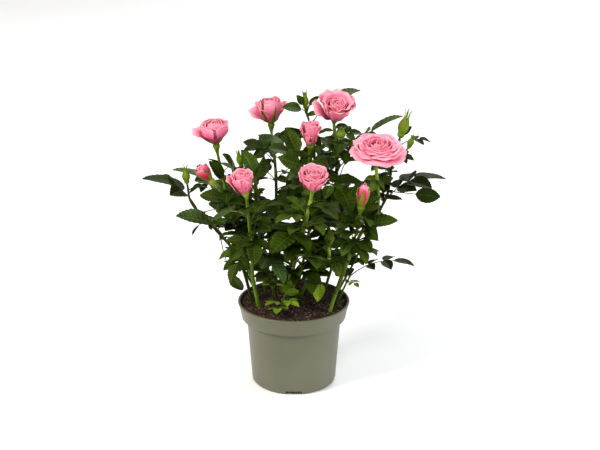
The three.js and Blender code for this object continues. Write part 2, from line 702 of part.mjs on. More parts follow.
// Seeded leaves keep out of the openings that show the sky or the soil.
function placeSky(taken) {
  const slope = radians(SKY_SLOPE);
  const axes = [vec(1, 0, 0), vec(0, Math.cos(slope), -Math.sin(slope)),
    vec(0, Math.sin(slope), Math.cos(slope))];
  for (const [x, z, halfWidth, halfHeight] of SKY) {
    const halves = [halfWidth, SKY_DEPTH, halfHeight];
    taken.push(turnedBox(vec(x, 0, z), axes, halves, "sky", "bloom"));
  }
}

// Adds the first of some leaves that is clear of everything that stands already.
function growFirstClear(leaves, name, taken) {
  for (const leaf of leaves) {
    const boxes = leaf ? leafBoxes(leaf, name) : [];
    if (leaf && isClear(boxes, taken, name)) {
      SHOOTS[name].grown.push(leaf);
      taken.push(...boxes);
      return;
    }
  }
}

function growAimed(name, shoot, taken) {
  for (const [share, x, y, z, count, size, turned = 0] of shoot.aimed ?? []) {
    const roll = turned + (shoot.random() - 0.5) * AIMED.roll;
    const spread = (shoot.random() - 0.5) * AIMED.spread;
    const base = shoot.line.getPoint(share);
    const leaves = AIMED.rolls.map((turn) =>
      compoundLeaf(base, vec(x, y, z), count, roll + turn, spread, size));
    growFirstClear(leaves, name, taken);
  }
}

// The directions a seeded leaf tries: as drawn first, then turned aside, raised, lowered, shorter.
const SEEDED_TRIES = SEEDED.parts.flatMap((part) => SEEDED.turns.flatMap((turn) =>
  SEEDED.lifts.map((raise) => ({ part, turn, raise }))));

function growSeeded(name, shoot, taken) {
  const { random } = shoot;
  const start = random() * 360;
  for (let k = 0; k < (shoot.leaves ?? 0); k += 1) {
    const height = (k + SEEDED.foot) / (shoot.leaves + SEEDED.end);
    const base = shoot.line.getPoint(shoot.bare + (SEEDED.topShare - shoot.bare) * height);
    const heading = start + k * SEEDED.turn + (random() - 0.5) * SEEDED.turnSpread;
    const lift = SEEDED.liftLow + SEEDED.liftRange * random() + SEEDED.liftGain * height;
    const drawn = SEEDED.lengthLow + SEEDED.lengthRange * random();
    const length = shoot.reach * (1 - SEEDED.shortening * height) * drawn;
    const roll = (random() - 0.5) * SEEDED.roll;
    const spread = (random() - 0.5) * SEEDED.spread;
    const count = length > SEEDED.fullLength ? LEAF.fullCount : LEAF.smallCount;
    const leaves = function* tryAll() {
      for (const { part, turn, raise } of SEEDED_TRIES) {
        const [azimuth, climb] = [radians(heading + turn), radians(lift + raise)];
        const flat = Math.cos(climb);
        const way = vec(Math.cos(azimuth) * flat, Math.sin(azimuth) * flat, Math.sin(climb));
        const tip = along(base, way, length * part);
        yield insideCrown(tip) ? compoundLeaf(base, tip, count, roll, spread) : null;
      }
    };
    growFirstClear(leaves(), name, taken);
  }
}

function growBush() {
  const taken = [];
  placeStems(taken);
  placeRoses(taken);
  const shoots = Object.entries(SHOOTS);
  for (const [name, shoot] of shoots) {
    shoot.random = stream(shoot.seed ?? 1);
    shoot.grown = [];
    growAimed(name, shoot, taken);
  }
  placeSky(taken);
  for (const [name, shoot] of shoots) {
    growSeeded(name, shoot, taken);
  }
}

function lathe(profile, segments) {
  const points = profile.map(([radius, height]) => new THREE.Vector2(radius, height));
  return new THREE.LatheGeometry(points, segments).rotateX(Math.PI / 2);
}

// The pot's outer and inner outlines as [radius, height], from the middle of the floor to the lip.
function potOutline() {
  const collarFoot = POT.height - POT.collarHeight;
  const lipFoot = POT.height - POT.lipHeight;
  const belowLip = POT.rimRadius - POT.lipStep;
  const { edge } = POT;
  return {
    outer: [[0, 0], [POT.footRadius - POT.footEdge, 0], [POT.footRadius, POT.footEdge],
      [POT.wallTopRadius, collarFoot], [POT.collarFootRadius - 2 * edge, collarFoot + edge],
      [POT.collarFootRadius, collarFoot + 3 * edge], [belowLip, lipFoot],
      [POT.rimRadius, lipFoot + edge], [POT.rimRadius, POT.height - edge],
      [POT.rimRadius - edge, POT.height]],
    inner: [[0, POT.floor], [POT.footRadius - POT.footEdge - edge, POT.floor],
      [POT.footRadius - POT.wall, POT.footEdge + POT.floor],
      [POT.wallTopRadius - POT.wall, collarFoot + POT.wall],
      [POT.collarFootRadius - POT.wall - edge, collarFoot + POT.wall + 2 * edge],
      [belowLip - POT.wall, POT.height]],
  };
}

// A block the size of one drain notch, grown on its inner sides, ready to stand at azimuth 0.
function notchBlock(grow) {
  const depth = NOTCH.depth + grow + NOTCH.beyond;
  const block = new THREE.BoxGeometry(depth, NOTCH.width + 2 * grow, 2 * (NOTCH.height + grow));
  return block.translate(POT.footRadius + NOTCH.beyond - depth / 2, 0, 0);
}

// The hole that drains each notch upward into the soil.
function drainHole() {
  const hole = new THREE.CylinderGeometry(NOTCH.drainRadius, NOTCH.drainRadius,
    2 * (NOTCH.height + POT.wall), NOTCH.drainSides);
  return hole.rotateX(Math.PI / 2).translate(POT.footRadius - NOTCH.depth / 2 - POT.wall, 0, NOTCH.height);
}

function notchPlaces(make) {
  return Array.from({ length: NOTCH.count }, (_, i) =>
    make().rotateZ(-Math.PI / 2 + 2 * Math.PI * i / NOTCH.count));
}

function makePot() {
  const { outer, inner } = potOutline();
  const above = [[inner.at(-1)[0], POT.height + POT.wall], [0, POT.height + POT.wall]];
  const body = toSolid(lathe([...outer, [0, POT.height]], POT.segments));
  const inside = toSolid(lathe([...inner, [0, POT.height]], POT.segments));
  const shell = body.subtract(toSolid(lathe([...inner, ...above], POT.segments)));
  const housings = fuse(notchPlaces(() => notchBlock(POT.wall))).intersect(inside);
  const cuts = fuse([...notchPlaces(() => notchBlock(0)), ...notchPlaces(drainHole)]);
  return toGeometry(shell.add(housings).subtract(cuts));
}

// The soil fills the pot to just under its rim; its top is a shallow dome over a lower edge.
function makeSoil() {
  const { inner } = potOutline();
  const fill = inner.slice(1, -1).map(([radius, height]) => [radius - GAP, height + GAP]);
  const edge = inner.at(-1)[0] - SOIL.edgeInset - GAP;
  const top = [[edge, SOIL.top - SOIL.fall], [edge - SOIL.shoulder, SOIL.top], [0, SOIL.top]];
  const block = toSolid(lathe([[0, POT.floor + GAP], ...fill, ...top], SOIL.segments));
  return toGeometry(block.subtract(fuse(notchPlaces(() => notchBlock(POT.wall + GAP)))));
}

// The axis a limb's foot is cut square to: level on the soil, flush with the limb it forks from.
function footAxis(shoot) {
  return shoot.fork ? SHOOTS[shoot.fork.limb].line.getTangent(1) : UP;
}

function makeCane(shoot) {
  const steps = shoot.bareSteps + 1;
  const points = linePoints(shoot.line, 0, shoot.bare, steps);
  const tip = shoot.foot + (shoot.tip - shoot.foot) * shoot.bare;
  const axes = { startAxis: footAxis(shoot), endAxis: shoot.line.getTangent(shoot.bare) };
  return limb(points, taper(shoot.foot, tip, steps), CANE_SIDES, axes);
}

// A green bud: a slim spindle with its widest ring below the middle.
function budMesh(foot, tip, radius) {
  const points = BUD_RINGS.map(([place]) => foot.clone().lerp(tip, place));
  return limb(points, BUD_RINGS.map(([, share]) => share * radius), STEM_SIDES);
}

// The leafy part of a shoot's own stem. It stays clear of its cane and of its bloom.
function stemMesh(shoot) {
  const steps = Math.max(2, shoot.steps - shoot.bareSteps);
  const points = linePoints(shoot.line, shoot.bare, 1, steps);
  const first = shoot.foot + (shoot.tip - shoot.foot) * shoot.bare;
  const startAxis = shoot.bare > 0 ? shoot.line.getTangent(shoot.bare) : footAxis(shoot);
  if (shoot.bare > 0) {
    points[0] = along(points[0], startAxis, GAP);
  }
  const endAxis = shoot.rose ? ROSES[shoot.rose].way : null;
  if (shoot.rose) {
    points[steps] = along(points[steps], endAxis, -GAP);
  }
  return limb(points, taper(first, shoot.tip, steps), STEM_SIDES, { startAxis, endAxis });
}

// A stalk that leaves a shoot's stem and ends square under a bloom.
function sideStalk(shoot, { at, to, rose }) {
  const { way } = ROSES[rose];
  const start = shoot.line.getPoint(at);
  const end = along(vec(...to), way, -GAP);
  const bend = along(end, way, -start.distanceTo(end) / 2);
  const route = new THREE.QuadraticBezierCurve3(start, bend, end).getPoints(SIDE_STALK.steps);
  const radii = taper(SIDE_STALK.foot, SIDE_STALK.tip, SIDE_STALK.steps);
  return limb(route, radii, STEM_SIDES, { endAxis: way });
}

// A mass: its stem, side stalks, buds and compound leaves fused into one body.
function makeFoliage(shoot) {
  const pieces = [stemMesh(shoot)];
  for (const stalk of shoot.stalks ?? []) {
    pieces.push(sideStalk(shoot, stalk));
  }
  for (const [at, x, y, z, tipX, tipY, tipZ, radius] of shoot.buds ?? []) {
    const foot = vec(x, y, z);
    const tip = vec(tipX, tipY, tipZ);
    pieces.push(budMesh(foot, tip, radius));
    if (at < 1) {
      const route = [shoot.line.getPoint(at), foot, foot.clone().lerp(tip, BUD_RINGS[1][0])];
      pieces.push(limb(route, taper(BUD_STALK, BUD_STALK, 2), TWIG_SIDES));
    }
  }
  pieces.push(...shoot.grown.map(leafMesh));
  return toGeometry(fuse(pieces));
}

// A petal's middle line in radius and height, from its slopes at foot, middle and tip.
function petalLine(startRadius, length, [footSlope, middleSlope, tipSlope], steps) {
  const line = [{ radius: startRadius, height: 0, slope: radians(footSlope) }];
  for (let i = 1; i <= steps; i += 1) {
    const v = (i - 0.5) / steps;
    const slope = radians(footSlope * (1 - v) * (1 - 2 * v) + 4 * middleSlope * v * (1 - v)
      + tipSlope * v * (2 * v - 1));
    const { radius, height } = line[i - 1];
    const step = length / steps;
    line.push({ radius: radius + step * Math.cos(slope), height: height + step * Math.sin(slope), slope });
  }
  return line;
}

// The outer petals' line at its few rows, long enough to reach the bloom's radius.
function petalPath(rose) {
  const start = BLOOM.hipRadius / 2;
  const unit = petalLine(0, 1, rose.angles, BLOOM.pathSteps);
  const length = (rose.radius - start) / Math.max(...unit.map(({ radius }) => radius));
  const fine = petalLine(start, length, rose.angles, BLOOM.petalRows * BLOOM.pathSteps);
  return fine.filter((point, i) => i % BLOOM.pathSteps === 0);
}

// A thick petal: a curved blade wrapped round the bloom's axis at one azimuth.
function petalMesh(path, azimuth, halfTurn, foot) {
  const rows = path.length - 1;
  const columns = BLOOM.petalColumns;
  const vertices = [];
  for (const side of [0, 1]) {
    path.forEach(({ radius, height, slope }, i) => {
      for (let j = 0; j <= columns; j += 1) {
        const u = 2 * j / columns - 1;
        const r = radius - side * BLOOM.petalThickness * Math.sin(slope);
        const h = foot + height + side * BLOOM.petalThickness * Math.cos(slope)
          - (i === rows ? u * u * BLOOM.petalRound : 0);
        const turn = azimuth + u * halfTurn * BLOOM.petalWidths[i];
        vertices.push(vec(r * Math.cos(turn), r * Math.sin(turn), h));
      }
    });
  }
  const at = (side, i, j) => side * (rows + 1) * (columns + 1) + i * (columns + 1) + j;
  const triangles = [];
  const quad = (a, b, c, d) => triangles.push([a, b, c], [a, c, d]);
  for (let i = 0; i < rows; i += 1) {
    for (let j = 0; j < columns; j += 1) {
      quad(at(0, i, j), at(0, i, j + 1), at(0, i + 1, j + 1), at(0, i + 1, j));
      quad(at(1, i, j), at(1, i + 1, j), at(1, i + 1, j + 1), at(1, i, j + 1));
    }
    quad(at(0, i, 0), at(0, i + 1, 0), at(1, i + 1, 0), at(1, i, 0));
    quad(at(0, i, columns), at(1, i, columns), at(1, i + 1, columns), at(0, i + 1, columns));
  }
  for (let j = 0; j < columns; j += 1) {
    quad(at(0, 0, j), at(1, 0, j), at(1, 0, j + 1), at(0, 0, j + 1));
    quad(at(0, rows, j), at(0, rows, j + 1), at(1, rows, j + 1), at(1, rows, j));
  }
  return meshFrom(vertices, triangles);
}

// The radius at which a petal's middle line passes a height.
function radiusAt(path, height) {
  const above = path.findIndex((point) => point.height >= height);
  if (above < 1) {
    return Math.max(...path.map(({ radius }) => radius));
  }
  const [a, b] = [path[above - 1], path[above]];
  return a.radius + (b.radius - a.radius) * (height - a.height) / (b.height - a.height);
}

// A bloom: its hip and closed heart are one turned body, with a ring of open outer petals round it.
function makeRose({ path, radius, hip, heart, heartShare, petals, way, foot }) {
  const low = hip + heart * BLOOM.lowPlace;
  const high = hip + heart * BLOOM.highPlace;
  const widest = radius * heartShare;
  const lowRadius = Math.min(widest, BLOOM.snug * radiusAt(path, low - hip));
  const highRadius = Math.min(widest * BLOOM.highShare, BLOOM.snug * radiusAt(path, high - hip));
  const core = lathe([[0, 0], [BLOOM.stalkRadius, 0], [BLOOM.hipRadius, hip * BLOOM.hipPlace],
    [BLOOM.hipRadius * BLOOM.hipNeck, hip], [lowRadius, low], [highRadius, high],
    [highRadius * BLOOM.mouthShare, hip + heart], [0, hip + heart * BLOOM.mouthPlace]],
  BLOOM.heartSides);
  const pieces = [core];
  for (let i = 0; i < petals; i += 1) {
    const halfTurn = BLOOM.sectorShare * Math.PI / petals;
    pieces.push(petalMesh(path, 2 * Math.PI * i / petals, halfTurn, hip - BLOOM.petalSink));
  }
  const turn = new THREE.Quaternion().setFromUnitVectors(UP, way);
  return toGeometry(fuse(pieces)).applyQuaternion(turn).translate(foot.x, foot.y, foot.z);
}

growBush();

const bush = new THREE.Group();
bush.name = "rose_bush_in_pot";

function addPiece(name, geometry, colour) {
  const mesh = new THREE.Mesh(geometry, new THREE.MeshStandardMaterial(colour));
  mesh.name = name;
  bush.add(mesh);
}

addPiece("pot", makePot(), COLOURS.pot);
addPiece("soil", makeSoil(), COLOURS.soil);
for (const [name, shoot] of Object.entries(SHOOTS)) {
  if (shoot.cane) {
    addPiece(shoot.cane, makeCane(shoot), COLOURS.cane);
  }
  if (shoot.bare < 1) {
    addPiece(`foliage_${name}`, makeFoliage(shoot), COLOURS.foliage);
  }
}
for (const [name, rose] of Object.entries(ROSES)) {
  addPiece(`rose_${name}`, makeRose(rose), COLOURS.rose);
}

export default bush;
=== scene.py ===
"""Looks of a potted miniature rose bush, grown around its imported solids. Metres, +Z up."""

import math

import bpy
import numpy as np
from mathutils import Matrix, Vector, noise


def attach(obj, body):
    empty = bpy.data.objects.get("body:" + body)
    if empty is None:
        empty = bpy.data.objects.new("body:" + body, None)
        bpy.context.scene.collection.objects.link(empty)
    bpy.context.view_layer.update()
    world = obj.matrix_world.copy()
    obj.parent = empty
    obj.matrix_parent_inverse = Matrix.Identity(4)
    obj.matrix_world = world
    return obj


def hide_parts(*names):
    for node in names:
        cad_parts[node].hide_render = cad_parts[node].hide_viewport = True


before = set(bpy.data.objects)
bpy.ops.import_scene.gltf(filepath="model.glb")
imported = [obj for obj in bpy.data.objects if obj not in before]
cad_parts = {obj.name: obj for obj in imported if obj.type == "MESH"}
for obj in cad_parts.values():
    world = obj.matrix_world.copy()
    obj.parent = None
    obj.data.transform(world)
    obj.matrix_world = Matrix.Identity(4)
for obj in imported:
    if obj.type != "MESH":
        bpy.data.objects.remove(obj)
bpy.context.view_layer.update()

MM = 0.001
GAP = 0.3

# Sizes shared with the solids, in millimetres

POT = {
    "height": 80.7, "rimRadius": 52.5, "lipHeight": 1.8, "lipStep": 0.7, "collarHeight": 17,
    "collarFootRadius": 49, "wallTopRadius": 44.3, "footRadius": 39.5, "footEdge": 2.2,
    "wall": 1.3, "floor": 1.6, "edge": 0.5,
}
NOTCH = {"count": 4, "width": 15.4, "height": 3.8, "depth": 9, "beyond": 4, "drainRadius": 2.6}
SOIL_TOP = 79.6
SOIL_FALL = 0.9
SOIL_EDGE = 49.0

STEPS_PER_GUIDE = 2
BUD_STALK = 0.8
LEAF = {
    "stalkWidth": 0.7, "stalkTip": 0.5, "arch": 0.15, "terminalShare": 0.5, "shortest": 13,
    "longest": 34, "widthShare": 0.66, "foldShare": 0.1, "droopShare": 0.06,
    "thickness": 0.8, "rootHalf": 0.9, "pairPlaces": [0.8, 0.46], "pairSizes": [0.86, 0.68],
    "pairAngle": 58, "pairDroop": 0.12, "fullCount": 5, "smallCount": 3, "upright": 0.85,
    "uprightLean": 0.4, "pastStem": 3, "stalkSteps": 5,
}
AIMED = {"roll": 0.5, "spread": 0.2, "rolls": [0, 0.35, -0.35, 0.7, -0.7]}
# Leaves up a stem, each turned on from the last. The solids' own follow SEEDED, and the finer ones
# that fill the crown between them follow FILL.
SPIRAL = {
    "turn": 137.5, "turnSpread": 30, "topShare": 0.94, "liftLow": -18, "liftRange": 40,
    "shortening": 0.38, "spread": 0.24, "fullLength": 58, "parts": [1, 0.82],
    "turns": [0, 24, -24, 48, -48, 76, -76, 104, -104], "lifts": [0, 16, -20],
}
SEEDED = {
    "foot": 0.6, "end": 0.4, "liftGain": 22, "lengthLow": 0.84, "lengthRange": 0.3, "roll": 0.7,
    "shortest": 0, "crowding": None,
}
FILL = {
    "foot": 0.5, "end": 0, "liftGain": 0, "lengthLow": 0.5, "lengthRange": 0.42, "roll": 1.4,
    "shortest": 20, "crowding": 0.5,
}
FILL_PER_MILLIMETRE = 0.11
FILL_STEPS = 12
SEEDS = {"fill": 500, "leaves": 77, "stems": 91, "blooms": 113, "crumbs": 131}
CLEARANCE = 0.25
OWN_SHARE = 0.62
CROWN_CENTRE = np.array([6.0, 12.0, 158.0])
CROWN_HALF = np.array([90.0, 112.0, 92.0])
CROWN_FLOOR = 84
SOIL_ROOM = 1.5
RIM_ROOM = 1
RIM_BAND = 3

# The same shoots as the solids have: their lines, bare feet, aimed leaves, buds and blooms.
SHOOTS = {
    "left": {
        "guide": [[-39, 0], [-52, 4, 122], [-74, 5, 151], [-94, 2, 176], [-98, 0, 196]],
        "bareSteps": 3, "foot": 1.6, "tip": 1, "seed": 11, "leaves": 3, "reach": 44,
        "aimed": [[0.66, -138, -8, 206, 3, 1, -0.3], [0.385, -107, -18, 173, 1, 1.15, -0.4],
                  [0.42, -89, 6, 160, 1], [0.44, -48, -8, 93, 1, 0.65, -0.9]],
        "buds": [[1, -98, 0, 196, -100, 0, 216, 3.3]],
    },
    "front_left": {
        "guide": [[-33, -14], [-38, -20, 114], [-38, -26, 143], [-40, -36, 168], [-42, -45, 199]],
        "bareSteps": 3, "foot": 1.8, "tip": 1.4, "seed": 23, "leaves": 5, "reach": 54,
        "aimed": [[0.52, -8, -64, 124, 3], [0.48, -58, -52, 120, 3]],
        "rose": "front_left",
    },
    "left_bloom": {
        "guide": [[-35, 18], [-46, 22, 114], [-56, 25, 149], [-64, 26, 183], [-71, 25, 219]],
        "bareSteps": 2, "foot": 1.7, "tip": 1.3, "seed": 37, "leaves": 7, "reach": 56,
        "aimed": [[0.6, -113, 32, 201, 3, 1, -0.2], [0.72, -64, 6, 224, 3], [0.7, -78, 20, 212, 1],
                  [0.5, -76, 72, 176, 5]],
        "stalks": [{"at": 0.66, "to": [-71, 0, 194], "rose": "left_bud"}],
        "rose": "left_bloom",
    },
    "mid_left": {
        "guide": [[-26, 10], [-30, 8, 116], [-33, 11, 151], [-35, 8, 178], [-36, 4, 202]],
        "bareSteps": 2, "foot": 1.5, "tip": 1, "seed": 41, "leaves": 7, "reach": 60,
        "aimed": [[0.82, -47, -4, 231, 3], [0.6, -27, -6, 194, 3, 0.8]],
        "buds": [[1, -36, 4, 202, -38, 3, 221, 3.8], [0.86, -48, 8, 210, -52, 8, 228, 3]],
    },
    "back_bloom": {
        "guide": [[-20, 33], [-18, 37, 117], [-17, 40, 151], [-17, 43, 192], [-21, 45, 233]],
        "bareSteps": 2, "foot": 1.7, "tip": 1.3, "seed": 59, "leaves": 5, "reach": 60,
        "aimed": [[0.84, -47, 38, 225, 3, 1, -0.8]],
        "rose": "back_bloom",
    },
    "centre": {
        "guide": [[-5, 27], [-2, 20, 108], [4, 16, 150], [12, 6, 193], [15, 0, 229]],
        "bareSteps": 2, "foot": 1.7, "tip": 1.3, "seed": 61, "leaves": 7, "reach": 60,
        "aimed": [[0.62, -7, 14, 247, 3, 0.72], [0.76, -33, 28, 236, 3, 0.8]],
        "rose": "centre",
    },
    "top_bud": {
        "guide": [[4, 40], [14, 44, 130], [19, 38, 190], [18, 31, 232], [11, 28, 259]],
        "bareSteps": 2, "foot": 1.5, "tip": 1, "seed": 67, "leaves": 6, "reach": 56,
        "aimed": [[0.98, -10, 18, 265, 1, 1.4, -0.9], [0.96, 24, 34, 271, 1],
                  [0.84, 62, 48, 273, 1]],
        "buds": [[1, 11, 28, 259, 10, 30, 279, 3]],
    },
    "front_bloom": {
        "guide": [[-8, 4], [-3, -10, 108], [4, -26, 139], [11, -40, 174], [17, -50, 206]],
        "bareSteps": 2, "foot": 1.8, "tip": 1.5, "seed": 73, "leaves": 7, "reach": 56,
        "aimed": [[0.66, -20, -78, 160, 3, 1.3, -0.5], [0.78, -16, -66, 184, 3],
                  [0.74, 27, -66, 172, 3]],
        "rose": "front_bloom",
    },
    "top_bloom": {
        "guide": [[13, 33], [27, 32, 118], [37, 28, 165], [40, 20, 210], [37, 16, 250]],
        "bareSteps": 2, "foot": 1.8, "tip": 1.4, "seed": 89, "leaves": 7, "reach": 60,
        "aimed": [[0.54, 101, 46, 249, 3, 0.9, -0.4], [0.52, 41, -14, 212, 3],
                  [0.62, 53, -24, 179, 1, 1.3], [0.74, 70, 18, 228, 1, 0.9, 0.9]],
        "buds": [[0.86, 43, -1, 240, 44, -3, 253, 3.9], [0.78, 54, 6, 225, 52, 6, 242, 2.6]],
        "rose": "top_bloom",
    },
    "low_bud": {
        "guide": [[6, 9], [10, 2, 92], [22, -10, 112], [32, -22, 130], [32, -30, 147]],
        "bareSteps": 3, "foot": 2, "tip": 1.4, "seed": 97, "leaves": 5, "reach": 54,
        "aimed": [[0.56, 22, -42, 97, 1]],
        "buds": [[1, 32, -30, 147, 34, -32, 166, 4.2]],
    },
    "right": {
        "guide": [[34, -25], [38, -23, 94], [44, -22, 112], [54, -24, 143]],
        "bareSteps": 6, "foot": 1.7, "tip": 2.1,
    },
    "right_bough": {
        "fork": {"limb": "right", "across": [1.2, 1.2, 0]},
        "guide": [[66, -19, 162], [77, -15, 172]],
        "cane": "bough_right", "bareSteps": 4, "foot": 1.5, "tip": 2.1,
    },
    "right_low": {
        "fork": {"limb": "right", "across": [-1.1, -1.2, 0]},
        "guide": [[57, -34, 161], [60, -45, 186]],
        "bareSteps": 0, "foot": 1.2, "tip": 1, "seed": 103, "leaves": 5, "reach": 46,
        "aimed": [[0.4, 94, -44, 178, 3, 1.1, 0.6], [0.28, 69, -66, 155, 3],
                  [0.14, 66, -56, 140, 3]],
        "rose": "right_bud",
    },
    "right_bloom": {
        "fork": {"limb": "right_bough", "across": [-0.6, -1.4, 0.6]},
        "guide": [[77.5, -18, 190], [75, -18, 219]],
        "bareSteps": 0, "foot": 1.3, "tip": 1.7, "seed": 107, "leaves": 3, "reach": 44,
        "rose": "right_bloom",
    },
    "right_tip": {
        "fork": {"limb": "right_bough", "across": [0.4, 1.5, -0.4]},
        "guide": [[87, 4, 186], [91, 18, 207], [98, 22, 233]],
        "bareSteps": 0, "foot": 1.3, "tip": 1.2, "seed": 109, "leaves": 7, "reach": 46,
        "aimed": [[0.24, 142, 20, 196, 5], [0.36, 135, -8, 187, 1, 0.9, 0.6],
                  [0.9, 128, 32, 227, 3, 0.7]],
        "buds": [[1, 98, 22, 233, 107, 21, 263, 4.6], [0.78, 106, 20, 224, 111, 18, 239, 2.9]],
    },
    "rear_left": {
        "guide": [[-22, 40], [-28, 56, 108], [-34, 70, 140], [-36, 80, 166]],
        "bareSteps": 2, "foot": 1.5, "tip": 1, "seed": 127, "leaves": 4, "reach": 54,
        "buds": [[1, -36, 80, 166, -37, 84, 184, 3.4]],
    },
    "rear_right": {
        "guide": [[30, 30], [40, 48, 108], [46, 62, 138], [44, 74, 162]],
        "bareSteps": 2, "foot": 1.5, "tip": 1, "seed": 131, "leaves": 5, "reach": 54,
        "buds": [[1, 44, 74, 162, 44, 79, 179, 3.4]],
    },
    "rear": {
        "guide": [[-8, 44], [0, 62, 106], [4, 80, 132], [6, 90, 156]],
        "bareSteps": 2, "foot": 1.5, "tip": 1, "seed": 137, "leaves": 4, "reach": 52,
        "buds": [[1, 6, 90, 156, 5, 94, 173, 3]],
    },
    "low_front": {
        "guide": [[-12, -28], [-11, -29, 88], [-8, -28, 99]],
        "bareSteps": 0, "foot": 1.2, "tip": 0.8, "seed": 139, "leaves": 2, "reach": 28,
        "aimed": [[0.6, 5, -42, 92, 3, 0.8], [0.5, -26, -42, 93, 3, 0.8]],
    },
    "low_centre": {
        "guide": [[-18, -6], [-19, -18, 104], [-16, -30, 126]],
        "bareSteps": 0, "foot": 1.4, "tip": 0.8, "seed": 163, "leaves": 5, "reach": 42,
        "aimed": [[0.7, -34, -48, 120, 3, 1.15]],
    },
    "low_right": {
        "guide": [[41, -4], [47, -8, 96], [53, -12, 111]],
        "bareSteps": 0, "foot": 1.2, "tip": 0.8, "seed": 149, "leaves": 3, "reach": 36,
        "aimed": [[0.95, 112, -20, 124, 5, 0.6], [0.7, 60, -30, 106, 5, 0.5]],
    },
    "low_left": {
        "guide": [[-37, 28], [-50, 38, 100], [-60, 46, 122]],
        "bareSteps": 0, "foot": 1.3, "tip": 0.8, "seed": 151, "leaves": 5, "reach": 42,
    },
    "low_back": {
        "guide": [[41, 18], [55, 30, 102], [67, 38, 124]],
        "bareSteps": 0, "foot": 1.3, "tip": 0.8, "seed": 157, "leaves": 5, "reach": 42,
    },
}

ROSES = {
    "left_bloom": {"axis": [-0.1, -0.12, 1], "radius": 17.4, "hip": 9, "heart": 20, "heartShare": 0.72,
        "angles": [32, 56, 34]},
    "back_bloom": {"axis": [0, -0.1, 1], "radius": 16.8, "hip": 9, "heart": 23, "heartShare": 0.64,
        "angles": [36, 58, 40]},
    "top_bloom": {"axis": [0.14, -0.42, 1], "radius": 17.2, "hip": 6, "heart": 19, "heartShare": 0.86,
        "angles": [4, 68, 50]},
    "centre": {"axis": [0.02, -0.08, 1], "radius": 9.2, "hip": 6, "heart": 20, "heartShare": 0.76,
        "angles": [14, 82, 58]},
    "right_bloom": {"axis": [0.06, -0.2, 1], "radius": 26.4, "hip": 7, "heart": 18, "heartShare": 0.66,
        "angles": [18, 36, -18]},
    "front_bloom": {"axis": [0.06, -0.42, 1], "radius": 13, "hip": 6, "heart": 19, "heartShare": 0.88,
        "angles": [0, 74, 64]},
    "front_left": {"axis": [-0.22, -0.16, 1], "radius": 11, "hip": 7, "heart": 18, "heartShare": 0.86,
        "angles": [4, 78, 64]},
    "left_bud": {"axis": [-0.62, -0.16, 0.79], "radius": 7.2, "hip": 10, "heart": 15, "heartShare": 0.9,
        "angles": [16, 84, 84]},
    "right_bud": {"axis": [0.16, -0.06, 1], "radius": 6.6, "hip": 6, "heart": 21, "heartShare": 0.84,
        "angles": [20, 94, 96]},
}
BLOOM = {
    "hipRadius": 3.4, "stalkRadius": 1.6, "petalRound": 2.4, "shoulder": 0.4, "snug": 0.88,
    "pathSteps": 12, "petalRows": 2, "lowPlace": 0.34, "highPlace": 0.7, "highShare": 0.98,
}

# Where sky or soil shows through the crown from the front, looking down at SKY_SLOPE degrees: x and z
# of each opening's middle over the pot's axis, and half its width and height.
SKY_SLOPE = 21
SKY_DEPTH = 130
SKY = [[54, 206, 8.5, 3.8], [56, 93, 9.4, 6.6], [67, 107, 6.6, 5.6], [-58, 229, 7.5, 5.6],
       [-87, 179, 5.6, 7.5], [-23, 193, 3.4, 6.6], [26, 257, 4.2, 3.8], [-72, 138, 4.7, 4.7],
       [79, 144, 4.7, 5.2], [-119, 178, 15, 5.6], [-3, 262, 8.5, 3.8], [-97, 138, 13.2, 5.6],
       [94, 141, 7.5, 7.5], [35, 90, 9, 4], [-26, 88, 8, 4]]

UP = np.array([0.0, 0.0, 1.0])
X_AXIS = np.array([1.0, 0.0, 0.0])
Y_AXIS = np.array([0.0, 1.0, 0.0])
LEAST_ACROSS = 0.9
FAR_OFF = UP * 1e6


# Plain geometry

def vec(*values):
    return np.array(values, float)


def unit(v):
    return v / math.sqrt(float(v @ v))


def length_of(points):
    return sum(float(np.linalg.norm(b - a)) for a, b in zip(points, points[1:]))


def quadratic(a, b, c, steps):
    return [a * (1 - t) ** 2 + b * (2 * t * (1 - t)) + c * t * t
            for t in (i / steps for i in range(steps + 1))]


def stream(seed):
    """A stream of numbers from 0 to 1 that a seed fixes."""
    state = seed * 7919 + 17
    while True:
        state = state * 48271 % 2147483647
        yield state / 2147483647


class Line:
    """A smooth line through points, by share of their count."""

    def __init__(self, points):
        self.points = points

    def at(self, share):
        points = self.points
        place = (len(points) - 1) * share
        i = min(int(place), len(points) - 2)
        w = place - i
        p1, p2 = points[i], points[i + 1]
        p0 = points[i - 1] if i > 0 else 2 * points[0] - points[1]
        p3 = points[i + 2] if i + 2 < len(points) else 2 * points[-1] - points[-2]
        t1, t2 = 0.5 * (p2 - p0), 0.5 * (p3 - p1)
        square = -3 * p1 + 3 * p2 - 2 * t1 - t2
        cube = 2 * p1 - 2 * p2 + t1 + t2
        return p1 + t1 * w + square * w * w + cube * w * w * w

    def tangent(self, share):
        low, high = max(share - 1e-4, 0), min(share + 1e-4, 1)
        return unit(self.at(high) - self.at(low))

    def span(self, start, end, steps):
        return [self.at(start + (end - start) * i / steps) for i in range(steps + 1)]


